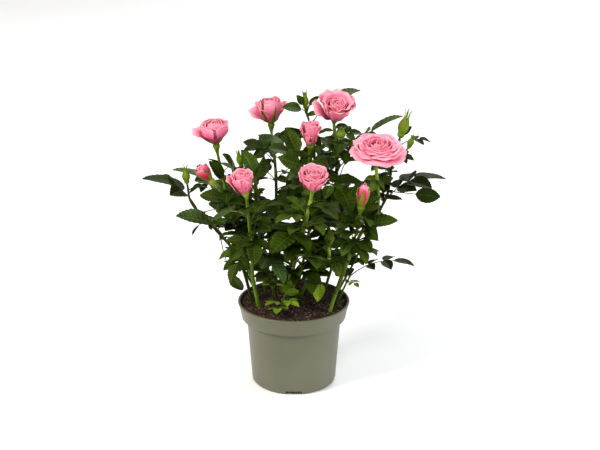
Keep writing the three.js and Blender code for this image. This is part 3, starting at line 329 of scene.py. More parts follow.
class Boxes:
    """Turned boxes of what stands already, tested against a new one all at once."""

    def __init__(self, room=24000):
        self.count = 0
        self.centres = np.zeros((room, 3))
        self.axes = np.zeros((room, 3, 3))
        self.halves = np.zeros((room, 3))
        self.reach = np.zeros(room)
        self.owner = np.zeros(room, int)
        self.stem = np.zeros(room, bool)
        self.bloom = np.zeros(room, bool)
        self.turned = np.full(room, -1)
        self.names = {}

    def owner_id(self, name):
        return self.names.setdefault(name, len(self.names))

    def add(self, box, kind, owner):
        i = self.count
        self.centres[i], self.axes[i], self.halves[i] = box
        self.reach[i] = math.sqrt(float(box[2] @ box[2]))
        self.owner[i] = self.owner_id(owner)
        self.stem[i] = kind == "stem"
        self.bloom[i] = kind == "bloom"
        self.count += 1
        return i

    def hits(self, box, owner, crowding=None):
        """Whether a box touches anything. Its own stem never counts, and its own leaves less."""
        n = self.count
        centre, axes, halves = box
        me = self.owner_id(owner)
        reach = math.sqrt(float(halves @ halves))
        own = self.owner[:n] == me
        if crowding is None:
            share = np.where(own, OWN_SHARE, 1.0)
        else:
            share = np.where(self.bloom[:n] | self.stem[:n], 1.0, crowding)
        offsets = self.centres[:n] - centre
        near = np.einsum("ij,ij->i", offsets, offsets) <= ((self.reach[:n] + reach) * share) ** 2
        near &= ~(own & self.stem[:n])
        picked = np.nonzero(near)[0]
        if not len(picked):
            return False
        share = share[picked, None]
        offset = offsets[picked]
        touching = ~separated(offset, axes, halves * share, self.axes[picked],
                              self.halves[picked] * share)
        for j in picked[touching]:
            other = self.turned[j]
            if other < 0:
                return True
            if not separated(offsets[j:j + 1], axes, halves[None], self.axes[other:other + 1],
                             self.halves[other:other + 1])[0]:
                return True
        return False


def separated(offset, axes, halves, other_axes, other_halves):
    """For each pair of turned boxes, whether one of the fifteen usual axes shows a gap."""
    count = len(offset)
    mine = np.broadcast_to(axes, (count, 3, 3))
    crosses = np.cross(mine[:, :, None, :], other_axes[:, None, :, :]).reshape(count, 9, 3)
    tests = np.concatenate([mine, other_axes, crosses], 1)
    distance = np.abs(np.einsum("nkc,nc->nk", tests, offset))
    reach_mine = (np.abs(np.einsum("nkc,nic->nki", tests, mine)) * halves[:, None, :]).sum(2)
    reach_other = (np.abs(np.einsum("nkc,nic->nki", tests, other_axes))
                   * other_halves[:, None, :]).sum(2)
    return (distance > reach_mine + reach_other).any(1)


def box_around(start, end, radius):
    direction = end - start
    length = math.sqrt(float(direction @ direction))
    direction = direction / length
    helper = UP if abs(direction[2]) < LEAST_ACROSS else X_AXIS
    across = unit(np.cross(helper, direction))
    axes = np.array([direction, across, np.cross(direction, across)])
    return (start + end) / 2, axes, vec(length / 2, radius, radius)


# Where each leaf stands: the same seeded rule as in the solids

def leaflet_box(leaflet):
    length, width = leaflet["length"], leaflet["width"]
    lift = length * (LEAF["foldShare"] - LEAF["droopShare"]) / 2
    centre = leaflet["root"] + leaflet["direction"] * (length / 2) + leaflet["normal"] * lift
    depth = length * (LEAF["foldShare"] + LEAF["droopShare"]) / 2 + LEAF["thickness"] / 2
    halves = vec(length / 2 + CLEARANCE, width / 2 + CLEARANCE, depth + CLEARANCE)
    across = np.cross(leaflet["direction"], leaflet["normal"])
    return centre, np.array([leaflet["direction"], across, leaflet["normal"]]), halves


def compound_leaf(base, tip, count, roll, spread, size=1):
    """A compound leaf from its base on a stem to its tip."""
    chord = tip - base
    span = math.sqrt(float(chord @ chord))
    direction = chord / span
    upright = abs(direction[2]) > LEAF["upright"]
    facing = vec(-direction[0], -direction[1] - LEAF["uprightLean"], 0) if upright else UP
    flat = unit(facing - direction * float(facing @ direction))
    across = np.cross(direction, flat)
    face = flat * math.cos(roll) + across * math.sin(roll)
    terminal = size * min(max(span * LEAF["terminalShare"], LEAF["shortest"]), LEAF["longest"])
    stalk_share = 1 - terminal / span
    control = base + (tip - base) * 0.5 + face * (2 * LEAF["arch"] * span)

    def square_to(way):
        return unit(face - way * float(face @ way))

    def station_at(share):
        place = share * stalk_share
        heading = unit((control - base) + ((tip - control) - (control - base)) * place)
        normal = square_to(heading)
        point = (base * (1 - place) ** 2 + control * (2 * (1 - place) * place)
                 + tip * place ** 2)
        return {"point": point, "heading": heading, "normal": normal,
                "outward": np.cross(heading, normal)}

    pairs = count // 2
    root_share = LEAF["rootHalf"] / (span * stalk_share)
    places = LEAF["pairPlaces"][:pairs][::-1]
    shares = [0] + [place + side * root_share for place in places for side in (-1, 1)] + [1]
    stations = [station_at(share) for share in shares]
    end = stations[-1]
    onward = tip - end["point"]
    length = math.sqrt(float(onward @ onward))
    onward = onward / length
    leaflets = [{"root": end["point"], "direction": onward, "normal": square_to(onward),
                 "length": length, "width": length * LEAF["widthShare"]}]
    angle = math.radians(LEAF["pairAngle"]) + spread
    for pair, place in enumerate(places):
        station = station_at(place)
        reach = length * LEAF["pairSizes"][pairs - 1 - pair]
        for hand in (1, -1):
            way = station["heading"] * math.cos(angle)
            way = way + station["outward"] * (hand * math.sin(angle))
            way = unit(way - station["normal"] * LEAF["pairDroop"])
            upward = unit(station["normal"] - way * float(station["normal"] @ way))
            leaflets.append({"root": station["point"] + station["outward"] * hand * LEAF["stalkTip"],
                             "direction": way, "normal": upward, "length": reach,
                             "width": reach * LEAF["widthShare"]})
    stalk = [station_at(i / LEAF["stalkSteps"]) for i in range(LEAF["stalkSteps"] + 1)]
    return {"stations": stations, "leaflets": leaflets, "stalk": stalk}


def leaf_boxes(leaf):
    boxes = [leaflet_box(leaflet) for leaflet in leaf["leaflets"]]
    foot, following = leaf["stations"][0], leaf["stations"][1]
    past_stem = foot["point"] + foot["heading"] * (LEAF["stalkWidth"] * LEAF["pastStem"])
    width = LEAF["stalkWidth"] + CLEARANCE
    boxes.append(box_around(past_stem, following["point"], width))
    if len(leaf["leaflets"]) > 1:
        boxes.append(box_around(following["point"], leaf["stations"][-1]["point"], width))
    return boxes


def touches_pot(box):
    centre, axes, halves = box
    depth = float(halves @ np.abs(axes[:, 2]))
    reach = float(halves @ np.hypot(axes[:, 0], axes[:, 1]))
    low = centre[2] - depth
    far = math.hypot(centre[0], centre[1])
    over_soil = far + reach < POT["rimRadius"] - RIM_BAND
    beyond_rim = far - reach > POT["rimRadius"] + RIM_ROOM
    return not beyond_rim and low < (SOIL_TOP + SOIL_ROOM if over_soil else POT["height"] + RIM_ROOM)


def inside_crown(point):
    share = (point - CROWN_CENTRE) / CROWN_HALF
    return float(share @ share) < 1 and point[2] > CROWN_FLOOR


def petal_line(start_radius, length, angles, steps):
    foot, middle, tip = angles
    line = [(start_radius, 0.0, math.radians(foot))]
    for i in range(1, steps + 1):
        v = (i - 0.5) / steps
        slope = math.radians(foot * (1 - v) * (1 - 2 * v) + 4 * middle * v * (1 - v)
                             + tip * v * (2 * v - 1))
        radius, height, _ = line[i - 1]
        step = length / steps
        line.append((radius + step * math.cos(slope), height + step * math.sin(slope), slope))
    return line


def petal_length(rose):
    unit_line = petal_line(0, 1, rose["angles"], BLOOM["pathSteps"])
    start = BLOOM["hipRadius"] / 2
    return (rose["radius"] - start) / max(radius for radius, _, _ in unit_line)


def petal_path(rose):
    steps = BLOOM["petalRows"] * BLOOM["pathSteps"]
    fine = petal_line(BLOOM["hipRadius"] / 2, petal_length(rose), rose["angles"], steps)
    return fine[::BLOOM["pathSteps"]]


def radius_at(path, height):
    above = next((i for i, point in enumerate(path) if point[1] >= height), -1)
    if above < 1:
        return max(radius for radius, _, _ in path)
    a, b = path[above - 1], path[above]
    return a[0] + (b[0] - a[0]) * (height - a[1]) / (b[1] - a[1])


def shoot_line(shoot):
    points = [vec(*(guide if len(guide) == 3 else (*guide, SOIL_TOP + GAP)))
              for guide in shoot["guide"]]
    if "fork" in shoot:
        parent = SHOOTS[shoot["fork"]["limb"]]["line"]
        axis = parent.tangent(1)
        shift = vec(*shoot["fork"]["across"])
        shift = shift - axis * float(shift @ axis)
        points.insert(0, parent.at(1) + axis * GAP + shift)
    return Line(points)


def green_buds(shoot):
    """Each green bud of a shoot: its share of the shoot's line, foot, tip and radius."""
    return [(at, vec(*ends[:3]), vec(*ends[3:]), radius) for at, *ends, radius in shoot.get("buds", [])]


def place_stems(taken):
    for name, shoot in SHOOTS.items():
        line = shoot["line"] = shoot_line(shoot)
        steps = shoot["steps"] = (len(line.points) - 1) * STEPS_PER_GUIDE
        shoot["bare"] = shoot["bareSteps"] / steps
        points = line.span(0, 1, steps)
        for i in range(steps):
            radius = shoot["foot"] + (shoot["tip"] - shoot["foot"]) * i / steps + CLEARANCE
            owner = f"bare_{name}" if i < shoot["bareSteps"] else name
            taken.add(box_around(points[i], points[i + 1], radius), "stem", owner)
        if "rose" in shoot:
            ROSES[shoot["rose"]]["foot"] = points[-1]
        for stalk in shoot.get("stalks", []):
            foot = ROSES[stalk["rose"]]["foot"] = vec(*stalk["to"])
            start = line.at(stalk["at"])
            taken.add(box_around(start, foot, shoot["tip"] + CLEARANCE), "stem", name)
        for at, foot, tip, radius in green_buds(shoot):
            taken.add(box_around(foot, tip, radius + CLEARANCE), "stem", name)
            if at < 1:
                taken.add(box_around(line.at(at), foot, BUD_STALK + CLEARANCE), "stem", name)


def place_roses(taken):
    """Each bloom as stacked boxes. A box's twin, turned between its sides, has to be touched too; it
    is kept far off, where nothing meets it by itself."""
    for name, rose in ROSES.items():
        way = rose["way"] = unit(vec(*rose["axis"]))
        rose["path"] = petal_path(rose)
        shoulder = rose["heart"] * BLOOM["shoulder"]
        levels = [0, rose["hip"], rose["hip"] + shoulder,
                  rose["hip"] + rose["heart"] + BLOOM["petalRound"]]
        cup = max(rose["radius"] / 2, radius_at(rose["path"], shoulder))
        for i, width in enumerate((BLOOM["hipRadius"], cup, rose["radius"])):
            low, high = rose["foot"] + way * levels[i], rose["foot"] + way * levels[i + 1]
            box = box_around(low, high, width + CLEARANCE)
            place = taken.add(box, "bloom", f"rose_{name}")
            axis, u, v = box[1]
            between = np.array([axis, unit(u + v), unit(v - u)])
            twin = (box[0] + FAR_OFF, between, box[2])
            taken.turned[place] = taken.add(twin, "bloom", f"rose_{name}")


def place_sky(taken):
    """Seeded leaves keep out of the openings that show the sky or the soil."""
    slope = math.radians(SKY_SLOPE)
    axes = np.array([[1, 0, 0], [0, math.cos(slope), -math.sin(slope)],
                     [0, math.sin(slope), math.cos(slope)]])
    for x, z, half_width, half_height in SKY:
        taken.add((vec(x, 0, z), axes, vec(half_width, SKY_DEPTH, half_height)), "bloom", "sky")


def grow_first_clear(leaves, name, share, taken, crowding=None):
    """Adds the first of some leaves that is clear of everything that stands already."""
    for leaf in leaves:
        boxes = leaf_boxes(leaf)
        if any(touches_pot(box) or taken.hits(box, name, crowding) for box in boxes):
            continue
        leaf["share"] = share
        SHOOTS[name]["grown"].append(leaf)
        for box in boxes:
            taken.add(box, "leaf", name)
        return


def grow_aimed(name, rows, taken, draw=None, crowding=None):
    """Leaves whose tips were chosen: [share of the line, tip x, y, z, leaflets, size, roll]. A stream
    of draws gives them a little more roll and spread."""
    for share, x, y, z, count, *more in rows:
        size, roll = more + [1, 0][len(more):]
        spread = 0
        if draw:
            roll += (next(draw) - 0.5) * AIMED["roll"]
            spread = (next(draw) - 0.5) * AIMED["spread"]
        base, tip = SHOOTS[name]["line"].at(share), vec(x, y, z)
        leaves = (compound_leaf(base, tip, count, roll + turn, spread, size)
                  for turn in AIMED["rolls"])
        grow_first_clear(leaves, name, share, taken, crowding)


def spiral_tries(base, heading, lift, length, count, roll, spread):
    """A leaf as drawn first, then turned aside, raised, lowered and shorter."""
    for part in SPIRAL["parts"]:
        for turn in SPIRAL["turns"]:
            for raised in SPIRAL["lifts"]:
                azimuth, climb = math.radians(heading + turn), math.radians(lift + raised)
                flat = math.cos(climb)
                way = vec(math.cos(azimuth) * flat, math.sin(azimuth) * flat, math.sin(climb))
                tip = base + way * (length * part)
                if inside_crown(tip):
                    yield compound_leaf(base, tip, count, roll, spread)


def grow_spiral(name, taken, total, draw, rule):
    """Leaves up a shoot in a spiral, where `rule` is SEEDED or FILL."""
    shoot = SHOOTS[name]
    start = next(draw) * 360
    for k in range(total):
        height = (k + rule["foot"]) / (total + rule["end"])
        share = shoot["bare"] + (SPIRAL["topShare"] - shoot["bare"]) * height
        heading = start + k * SPIRAL["turn"] + (next(draw) - 0.5) * SPIRAL["turnSpread"]
        lift = SPIRAL["liftLow"] + SPIRAL["liftRange"] * next(draw) + rule["liftGain"] * height
        drawn = rule["lengthLow"] + rule["lengthRange"] * next(draw)
        length = shoot["reach"] * (1 - SPIRAL["shortening"] * height) * drawn
        roll = (next(draw) - 0.5) * rule["roll"]
        spread = (next(draw) - 0.5) * SPIRAL["spread"]
        count = LEAF["fullCount"] if length > SPIRAL["fullLength"] else LEAF["smallCount"]
        base, length = shoot["line"].at(share), max(length, rule["shortest"])
        tries = spiral_tries(base, heading, lift, length, count, roll, spread)
        grow_first_clear(tries, name, share, taken, rule["crowding"])


# Small leaves at chosen places between the others, in rows as grow_aimed takes them
FINER = {
    "left": [[0.92, -79, 1, 193, 3, 0.8, 0.5], [0.56, -95, 6, 144, 1, 0.9, -0.4]],
    "left_bloom": [[0.78, -98, 22, 180, 3, 0.8, -0.5], [0.9, -80, 22, 214, 1, 0.9, -0.4]],
    "back_bloom": [[0.7, -36, 38, 187, 1, 1, -0.5], [0.72, -4, 38, 185, 1, 1, 0.5],
                   [0.83, -30, 40, 201, 1, 0.8, -0.5], [0.85, -5, 40, 199, 1, 0.8, 0.5]],
    "centre": [[0.86, -4, -2, 210, 3, 0.9, -0.4]],
    "top_bud": [[0.95, 23, 27, 256, 1, 0.8, 0.5], [0.97, 3, 26, 274, 1, 0.8, -0.4],
                [0.98, 23, 30, 271, 1, 0.8, 0.4]],
    "top_bloom": [[0.97, 50, 14, 248, 1, 0.9, 0.5], [0.95, 25, 14, 243, 1, 0.9, -0.5],
                  [0.9, 63, 22, 239, 3, 0.9, 0.5]],
    "right_low": [[0.9, 51, -46, 167, 3, 0.9, -0.4], [0.6, 69, -45, 170, 3, 0.9, 0.4]],
    "right_tip": [[0.97, 109, 26, 244, 1, 0.9, 0.5], [0.8, 112, 20, 213, 3, 0.8, 0.5]],
    "front_left": [[0.62, -56, -50, 151, 3, 0.9, -0.4]],
    "low_back": [[0.6, 73, 30, 105, 3, 0.7, 0.5]],
}


def grow_bush():
    taken = Boxes()
    place_stems(taken)
    place_roses(taken)
    leafy = [name for name, shoot in SHOOTS.items() if "leaves" in shoot]
    for name, shoot in SHOOTS.items():
        shoot["grown"] = []
        if name in leafy:
            shoot["random"] = stream(shoot["seed"])
            grow_aimed(name, shoot.get("aimed", []), taken, shoot["random"])
    place_sky(taken)
    for name in leafy:
        grow_spiral(name, taken, SHOOTS[name]["leaves"], SHOOTS[name]["random"], SEEDED)
    for name, rows in FINER.items():
        grow_aimed(name, rows, taken, crowding=FILL["crowding"])
    for name in leafy:
        shoot = SHOOTS[name]
        length = length_of(shoot["line"].span(shoot["bare"], 1, FILL_STEPS))
        total = round(length * FILL_PER_MILLIMETRE)
        grow_spiral(name, taken, total, stream(shoot["seed"] + SEEDS["fill"]), FILL)


# Meshes

def link_object(name, data):
    thing = bpy.data.objects.new(name, data)
    bpy.context.scene.collection.objects.link(thing)
    return thing


def finish_piece(piece, materials, sharp, replaced=()):
    """Gives a piece its materials and smooth faces, hangs it on the root body, and hides the solids it
    stands for.
    """
    mesh = piece.data
    for material in materials:
        mesh.materials.append(material)
    mesh.polygons.foreach_set("use_smooth", np.ones(len(mesh.polygons), bool))
    mesh.set_sharp_from_angle(angle=math.radians(sharp))
    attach(piece, "root")
    if replaced:
        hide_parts(*replaced)


class Builder:
    """Gathers points and faces of one piece, each face with a material's number."""

    def __init__(self):
        self.points, self.faces, self.kinds = [], [], []
        self.count = 0
        self.last = 0

    def add(self, points, faces, kinds=0):
        """Adds one closed thing. Its faces all have as many corners, and `kinds` is one number or
        a number for each face."""
        points = np.asarray(points, float).reshape(-1, 3)
        self.points.append(points)
        self.last = self.count
        self.count += len(points)
        self.more(faces, kinds)

    def more(self, faces, kinds=0):
        """Adds faces between the points that were added last."""
        faces = np.asarray(faces, int)
        self.faces.append(faces + self.last)
        self.kinds.append(np.broadcast_to(np.asarray(kinds, int), len(faces)))

    def make(self, name, materials, slot, sharp, replaced=()):
        rows = [face for block in self.faces for face in block.tolist()]
        piece = plain_object(name, np.concatenate(self.points), rows)
        finish_piece(piece, materials, sharp, replaced)
        kinds = np.concatenate(self.kinds).astype(np.int32)
        piece.data.polygons.foreach_set("material_index", kinds)
        piece.data.update()


def plain_object(name, points, faces):
    mesh = bpy.data.meshes.new(name)
    mesh.from_pydata((np.asarray(points, float) * MM).tolist(), [], [list(face) for face in faces])
    mesh.update()
    return link_object(name, mesh)


def grid_faces(rows, columns, flip=False, closed=False):
    """Quads of a grid of points, rows x columns. `closed` joins the last column to the first."""
    faces = []
    for i in range(rows - 1):
        for j in range(columns if closed else columns - 1):
            k = (j + 1) % columns
            face = [i * columns + j, i * columns + k, (i + 1) * columns + k, (i + 1) * columns + j]
            faces.append(face[::-1] if flip else face)
    return faces


def fan_faces(centre, first, sides, flip=False):
    """Triangles between a point and a ring of others that starts at `first`."""
    faces = [[centre, first + (j + 1) % sides, first + j] for j in range(sides)]
    return [[face[0], face[2], face[1]] for face in faces] if flip else faces


def sheet_faces(rows, columns):
    """Faces of a thin sheet: an upper grid, an under grid after it, and a rim between them."""
    size = rows * columns
    upper = grid_faces(rows, columns)
    under = [[size + k for k in face] for face in grid_faces(rows, columns, flip=True)]
    ring = [i * columns for i in range(rows)]
    ring += [(rows - 1) * columns + j for j in range(1, columns)]
    ring += [i * columns + columns - 1 for i in range(rows - 2, -1, -1)]
    ring += list(range(columns - 2, 0, -1))
    rim = [[a, b, size + b, size + a] for a, b in zip(ring, ring[1:] + ring[:1])]
    return np.array(upper + under + rim)


def around(way):
    """Two directions square to an axis and to each other."""
    helper = X_AXIS if abs(way[0]) < LEAST_ACROSS else Y_AXIS
    u = unit(np.cross(way, helper))
    return u, np.cross(way, u)


def tube(builder, points, radii, sides, kinds):
    """A round limb along points, closed at both ends. `kinds` is one number or one for each
    stretch between points."""
    points = [np.asarray(point, float) for point in points]
    last = len(points) - 1
    side = X_AXIS
    rings = []
    first = unit(points[1] - points[0])
    if abs(first[0]) > LEAST_ACROSS:
        side = Y_AXIS
    for i, point in enumerate(points):
        axis = unit(points[min(i + 1, last)] - points[max(i - 1, 0)])
        side = unit(side - axis * float(side @ axis))
        other = np.cross(axis, side)
        for j in range(sides):
            angle = 2 * math.pi * j / sides
            rings.append(point + (side * math.cos(angle) + other * math.sin(angle)) * radii[i])
    rings += [points[0], points[last]]
    kinds = np.broadcast_to(np.asarray(kinds, int), last)
    builder.add(rings, grid_faces(last + 1, sides, closed=True), np.repeat(kinds, sides))
    builder.more(fan_faces(len(rings) - 2, 0, sides), kinds[0])
    builder.more(fan_faces(len(rings) - 1, last * sides, sides, flip=True), kinds[-1])


def lathe_rings(profile, segments):
    """Points of a turned profile of [radius, height]; a radius of 0 is a point on the axis."""
    points = []
    for radius, height in profile:
        for j in range(segments):
            angle = 2 * math.pi * j / segments
            points.append((radius * math.cos(angle), radius * math.sin(angle), height))
    return np.array(points)


def turned(points, turn):
    """Points turned about +Z."""
    c, s = math.cos(turn), math.sin(turn)
    return [(x * c - y * s, x * s + y * c, z) for x, y, z in points]


def fan(way, start, count=5):
    """Directions square to an axis, evenly turned about it."""
    u, v = around(way)
    for k in range(count):
        angle = start + 2 * math.pi * k / count
        yield u * math.cos(angle) + v * math.sin(angle)


def turn_to(way):
    """Rows of a turn that takes +Z to `way` along the shortest arc."""
    v = np.cross(UP, way)
    c = float(way[2])
    k = np.array([[0, -v[2], v[1]], [v[2], 0, -v[0]], [-v[1], v[0], 0]])
    return np.eye(3) + k + k @ k / (1 + c)


# Leaves

# The places of the materials in a leaf's set and in the stems' set
UPPER, UNDER, RIB, STALK, VEIN = range(5)
DARK, PLAIN, FRESH, PALE, FLUSHED = range(5)

PHASE = 6
BLADE_ROWS = 17
BLADE_COLUMNS = np.array([-1, -0.56, -0.05, 0.05, 0.56, 1.0])
BLADE_FACES = sheet_faces(BLADE_ROWS, len(BLADE_COLUMNS))
BLADE = {
    "footRound": 0.62, "tipDrawn": 0.86, "widthShare": 0.9, "foot": 0.3, "least": 0.06,
    "sweep": 0.15, "toothOut": 0.055, "toothForward": 0.33, "toothTo": 0.97, "veinThin": 0.3,
    "foldPower": 1.3, "bow": 0.035, "bowEdge": 0.4, "wave": 0.02, "waveTurns": 2.3, "quilt": 0.014,
    "quiltTo": 0.9, "ribTo": 0.2, "ribHalf": 0.42, "ribGroove": 0.012, "ribDepth": 0.25,
    "thickness": 0.32, "edgeThin": 0.6,
}
STALK_SHAPE = {"foot": 0.62, "tip": 0.36, "sides": 5}
STIPULE = {
    "longest": 5.0, "thickness": 0.12, "outline": [(0, 0.4), (1, 0.4), (1.25, 1.9), (0.45, 1.5)],
    "faces": [(0, 1, 2, 3), (7, 6, 5, 4), (0, 4, 5, 1), (1, 5, 6, 2), (2, 6, 7, 3), (3, 7, 4, 0)],
}


def blade_kinds():
    """The material of each face of a leaflet. Side veins run up its upper side between the teeth."""
    across = len(BLADE_COLUMNS) - 1
    upper = [RIB if j == across // 2 else UPPER if row % 2 else VEIN
             for row in range(BLADE_ROWS - 1) for j in range(across)]
    under = [RIB if j == across // 2 else UNDER for j in range(across)] * (BLADE_ROWS - 1)
    rim = [UPPER] * (len(BLADE_FACES) - len(upper) - len(under))
    return np.array(upper + under + rim)


BLADE_KINDS = blade_kinds()


def blade_points(leaflet, phase):
    """Points of a leaflet's upper and under sheets: toothed outline, folded, bowed and quilted."""
    length, width = leaflet["length"], leaflet["width"] * BLADE["widthShare"]
    direction, normal = leaflet["direction"], leaflet["normal"]
    t = BLADE_COLUMNS[None, :]
    out = np.abs(t)
    edge = out ** 2
    rib = out < BLADE["ribTo"]
    tooth = (np.arange(BLADE_ROWS) % 2 == 1)[:, None]
    s = np.linspace(0, 1, BLADE_ROWS)[:, None] - tooth * BLADE["veinThin"] / BLADE_ROWS
    place = s + BLADE["sweep"] * out * np.sin(math.pi * s)
    outline = place ** BLADE["footRound"] * np.maximum(1 - place, 0) ** BLADE["tipDrawn"]
    outline = outline / outline.max()
    half = width / 2 * outline * np.where(tooth, 1 + BLADE["toothOut"], 1 - BLADE["toothOut"] / 2)
    half = half + BLADE["foot"] * (1 - s) + BLADE["least"]
    rib_place = np.minimum(out, BLADE["ribHalf"] / np.maximum(half, BLADE["ribHalf"]))
    sideways = half * np.where(rib, rib_place, out) * np.sign(t)
    forward = length * (place + BLADE["toothForward"] / BLADE_ROWS * edge * tooth
                        * (s < BLADE["toothTo"]))
    wave = np.sin(BLADE["waveTurns"] * math.pi * s + phase)
    rise = length * (LEAF["foldShare"] * out ** BLADE["foldPower"] * outline
                     - LEAF["droopShare"] * place ** 2
                     + BLADE["bow"] * np.sin(math.pi * s) * (1 - BLADE["bowEdge"] * edge)
                     + BLADE["wave"] * wave * edge * outline)
    quilt = BLADE["quilt"] * length * np.where(tooth, -1, 1) * outline
    rise = rise + quilt * (~rib & (out < BLADE["quiltTo"]))
    rise = rise - BLADE["ribGroove"] * length * rib * outline
    top = (leaflet["root"] + forward[..., None] * direction
           + sideways[..., None] * np.cross(direction, normal) + rise[..., None] * normal)
    depth = BLADE["thickness"] * (1 - BLADE["edgeThin"] * edge) * np.ones_like(s)
    depth = depth + BLADE["ribDepth"] * rib * outline
    under = top - depth[..., None] * normal
    return np.concatenate([top.reshape(-1, 3), under.reshape(-1, 3)])


def add_leaf(builder, leaf, draw):
    for leaflet in leaf["leaflets"]:
        builder.add(blade_points(leaflet, next(draw) * PHASE), BLADE_FACES, BLADE_KINDS)
    points = [station["point"] for station in leaf["stalk"]]
    radii = np.linspace(STALK_SHAPE["foot"], STALK_SHAPE["tip"], len(points))
    tube(builder, points, radii, STALK_SHAPE["sides"], STALK)
    add_stipules(builder, leaf)


def add_stipules(builder, leaf):
    """Two narrow green wings at the foot of a leaf's stalk."""
    foot, following = leaf["stalk"][:2]
    run = following["point"] - foot["point"]
    length = min(STIPULE["longest"], float(np.linalg.norm(run)))
    run = unit(run)
    thick = foot["normal"] * STIPULE["thickness"]
    for hand in (1, -1):
        flat = [foot["point"] + run * (length * along) + foot["outward"] * hand * out
                for along, out in STIPULE["outline"]]
        corners = [point + thick for point in flat] + [point - thick for point in flat]
        builder.add(corners, [face[::-hand] for face in STIPULE["faces"]], STALK)


# Stems

PRICKLE = {
    "length": 1.7, "width": 0.55, "tip": 0.06, "sides": 5, "spacing": 17, "dropped": 0.9,
    "raised": 0.1, "rooted": 0.7, "from": 0.04, "to": 0.75, "steps": 24,
}
STEM = {
    "stepsPerGuide": 8, "sides": 9, "nodeSwell": 0.24, "nodeWidth": 0.012, "buried": 2.2,
    "overlap": 1.2, "intoHip": 0.8, "middleFrom": 0.34, "upperFrom": 0.72,
}
ROSE_STALK = {"steps": 10, "foot": 1.0, "tip": 1.5, "sides": 9, "tone": FRESH, "intoHip": 0.6}
BUD_STEM = {
    "steps": 8, "foot": 0.85, "tip": 0.75, "sides": 8, "tone": PLAIN, "bend": -2, "overlap": 0.03,
}

# How green each shoot's stem is from foot to tip: 0 dark, 1 plain, 2 fresh, 3 pale. The others are
# plain.
TONES = {
    "left": (0, 0, 0), "front_left": (2, 2, 2), "left_bloom": (1, 1, 2), "back_bloom": (1, 1, 2),
    "centre": (1, 1, 2), "front_bloom": (1, 2, 3), "top_bloom": (1, 1, 2), "low_bud": (2, 3, 3),
    "right": (2, 1, 1), "right_low": (1, 2, 2), "right_bloom": (1, 2, 3), "right_tip": (0, 0, 1),
}


def add_prickles(builder, line, radius_at, draw, kind):
    """Small hooked prickles down a stem."""
    start, end = PRICKLE["from"], PRICKLE["to"]
    length = length_of(line.span(start, end, PRICKLE["steps"]))
    radii = [PRICKLE["width"], PRICKLE["width"] / 2, PRICKLE["tip"]]
    for _ in range(int(length / PRICKLE["spacing"])):
        share = start + (end - start) * next(draw)
        axis = line.tangent(share)
        out = next(fan(axis, 2 * math.pi * next(draw)))
        foot = line.at(share) + out * (radius_at(share) * PRICKLE["rooted"])
        tip = foot + out * PRICKLE["length"] - axis * PRICKLE["dropped"]
        middle = (foot + tip) / 2 + axis * PRICKLE["raised"]
        tube(builder, [foot, middle, tip], radii, PRICKLE["sides"], kind)


def add_stem(builder, name, shoot, draw):
    """A shoot's whole stem, from under the soil to its tip, swollen where its leaves leave it."""
    line = shoot["line"]
    foot, tip = shoot["foot"], shoot["tip"]
    nodes = np.array([leaf["share"] for leaf in shoot["grown"]])

    def radius_at(share):
        swell = np.exp(-((share - nodes) / STEM["nodeWidth"]) ** 2).max(initial=0)
        return foot + (tip - foot) * share + STEM["nodeSwell"] * swell

    steps = STEM["stepsPerGuide"] * (len(line.points) - 1)
    shares = [i / steps for i in range(steps + 1)]
    points = [line.at(share) for share in shares]
    if "fork" in shoot:
        points[0] = points[0] - line.tangent(0) * STEM["overlap"]
    else:
        points.insert(0, points[0] - UP * STEM["buried"])
        shares.insert(0, 0)
    if "rose" in shoot:
        points.append(points[-1] + ROSES[shoot["rose"]]["way"] * STEM["intoHip"])
        shares.append(1)
    low, middle, upper = TONES.get(name, (PLAIN, PLAIN, PLAIN))
    kinds = [low if share < STEM["middleFrom"] else middle if share < STEM["upperFrom"] else upper
             for share in shares[:-1]]
    tube(builder, points, [radius_at(share) for share in shares], STEM["sides"], kinds)
    add_prickles(builder, line, radius_at, draw, middle)


def add_stalk(builder, start, bend, end, shape):
    route = quadratic(start, bend, end, shape["steps"])
    radii = np.linspace(shape["foot"], shape["tip"], len(route))
    tube(builder, route, radii, shape["sides"], shape["tone"])


def add_rose_stalk(builder, shoot, stalk):
    rose = ROSES[stalk["rose"]]
    start = shoot["line"].at(stalk["at"])
    end = rose["foot"] + rose["way"] * ROSE_STALK["intoHip"]
    bend = end - rose["way"] * (float(np.linalg.norm(end - start)) / 2)
    add_stalk(builder, start, bend, end, ROSE_STALK)


def add_bud_stem(builder, shoot, at, foot, tip):
    start = shoot["line"].at(at)
    bend = (start + foot) / 2 + unit(tip - foot) * BUD_STEM["bend"]
    add_stalk(builder, start, bend, foot + (tip - foot) * BUD_STEM["overlap"], BUD_STEM)


# Green buds

HIP_SUNK = -0.4
HIP_NECK = (1.05, 0.06)
HIP_SHAPE = [(0.72, 0.34), (1, 0.66), (0.96, 0.84), (0.78, 1), (0, 1)]
SEPAL = {"bulge": 0.22, "thickness": 0.28}
# The buds are a little fuller than their solids. `spread` is how many millimetres the sepals of some
# stand off; `body` and `sepals` are shares of the bud's radius and length, over its hip.
BUD = {
    "fuller": 1.12, "spread": {"top_bud": 2.6, "right_tip": 0.8}, "hip": 0.2, "hipWidth": 0.72,
    "body": [(0.84, 0.1), (0.93, 0.2), (0.8, 0.32), (0.42, 0.44)],
    "sepals": [(0.95, 0.09, 1), (1.06, 0.2, 0.96), (0.92, 0.32, 0.74), (0.56, 0.46, 0.46)],
    "foot": (0.5, 0.9), "top": (0.05, 0.5), "sepalFoot": (0.55, 0.82, 0.7),
    "sepalWidth": 1.08, "flareLow": 0.7, "flareRange": 2.6, "flushedFrom": 3.6, "hipSides": 12,
    "bodySides": 14,
}


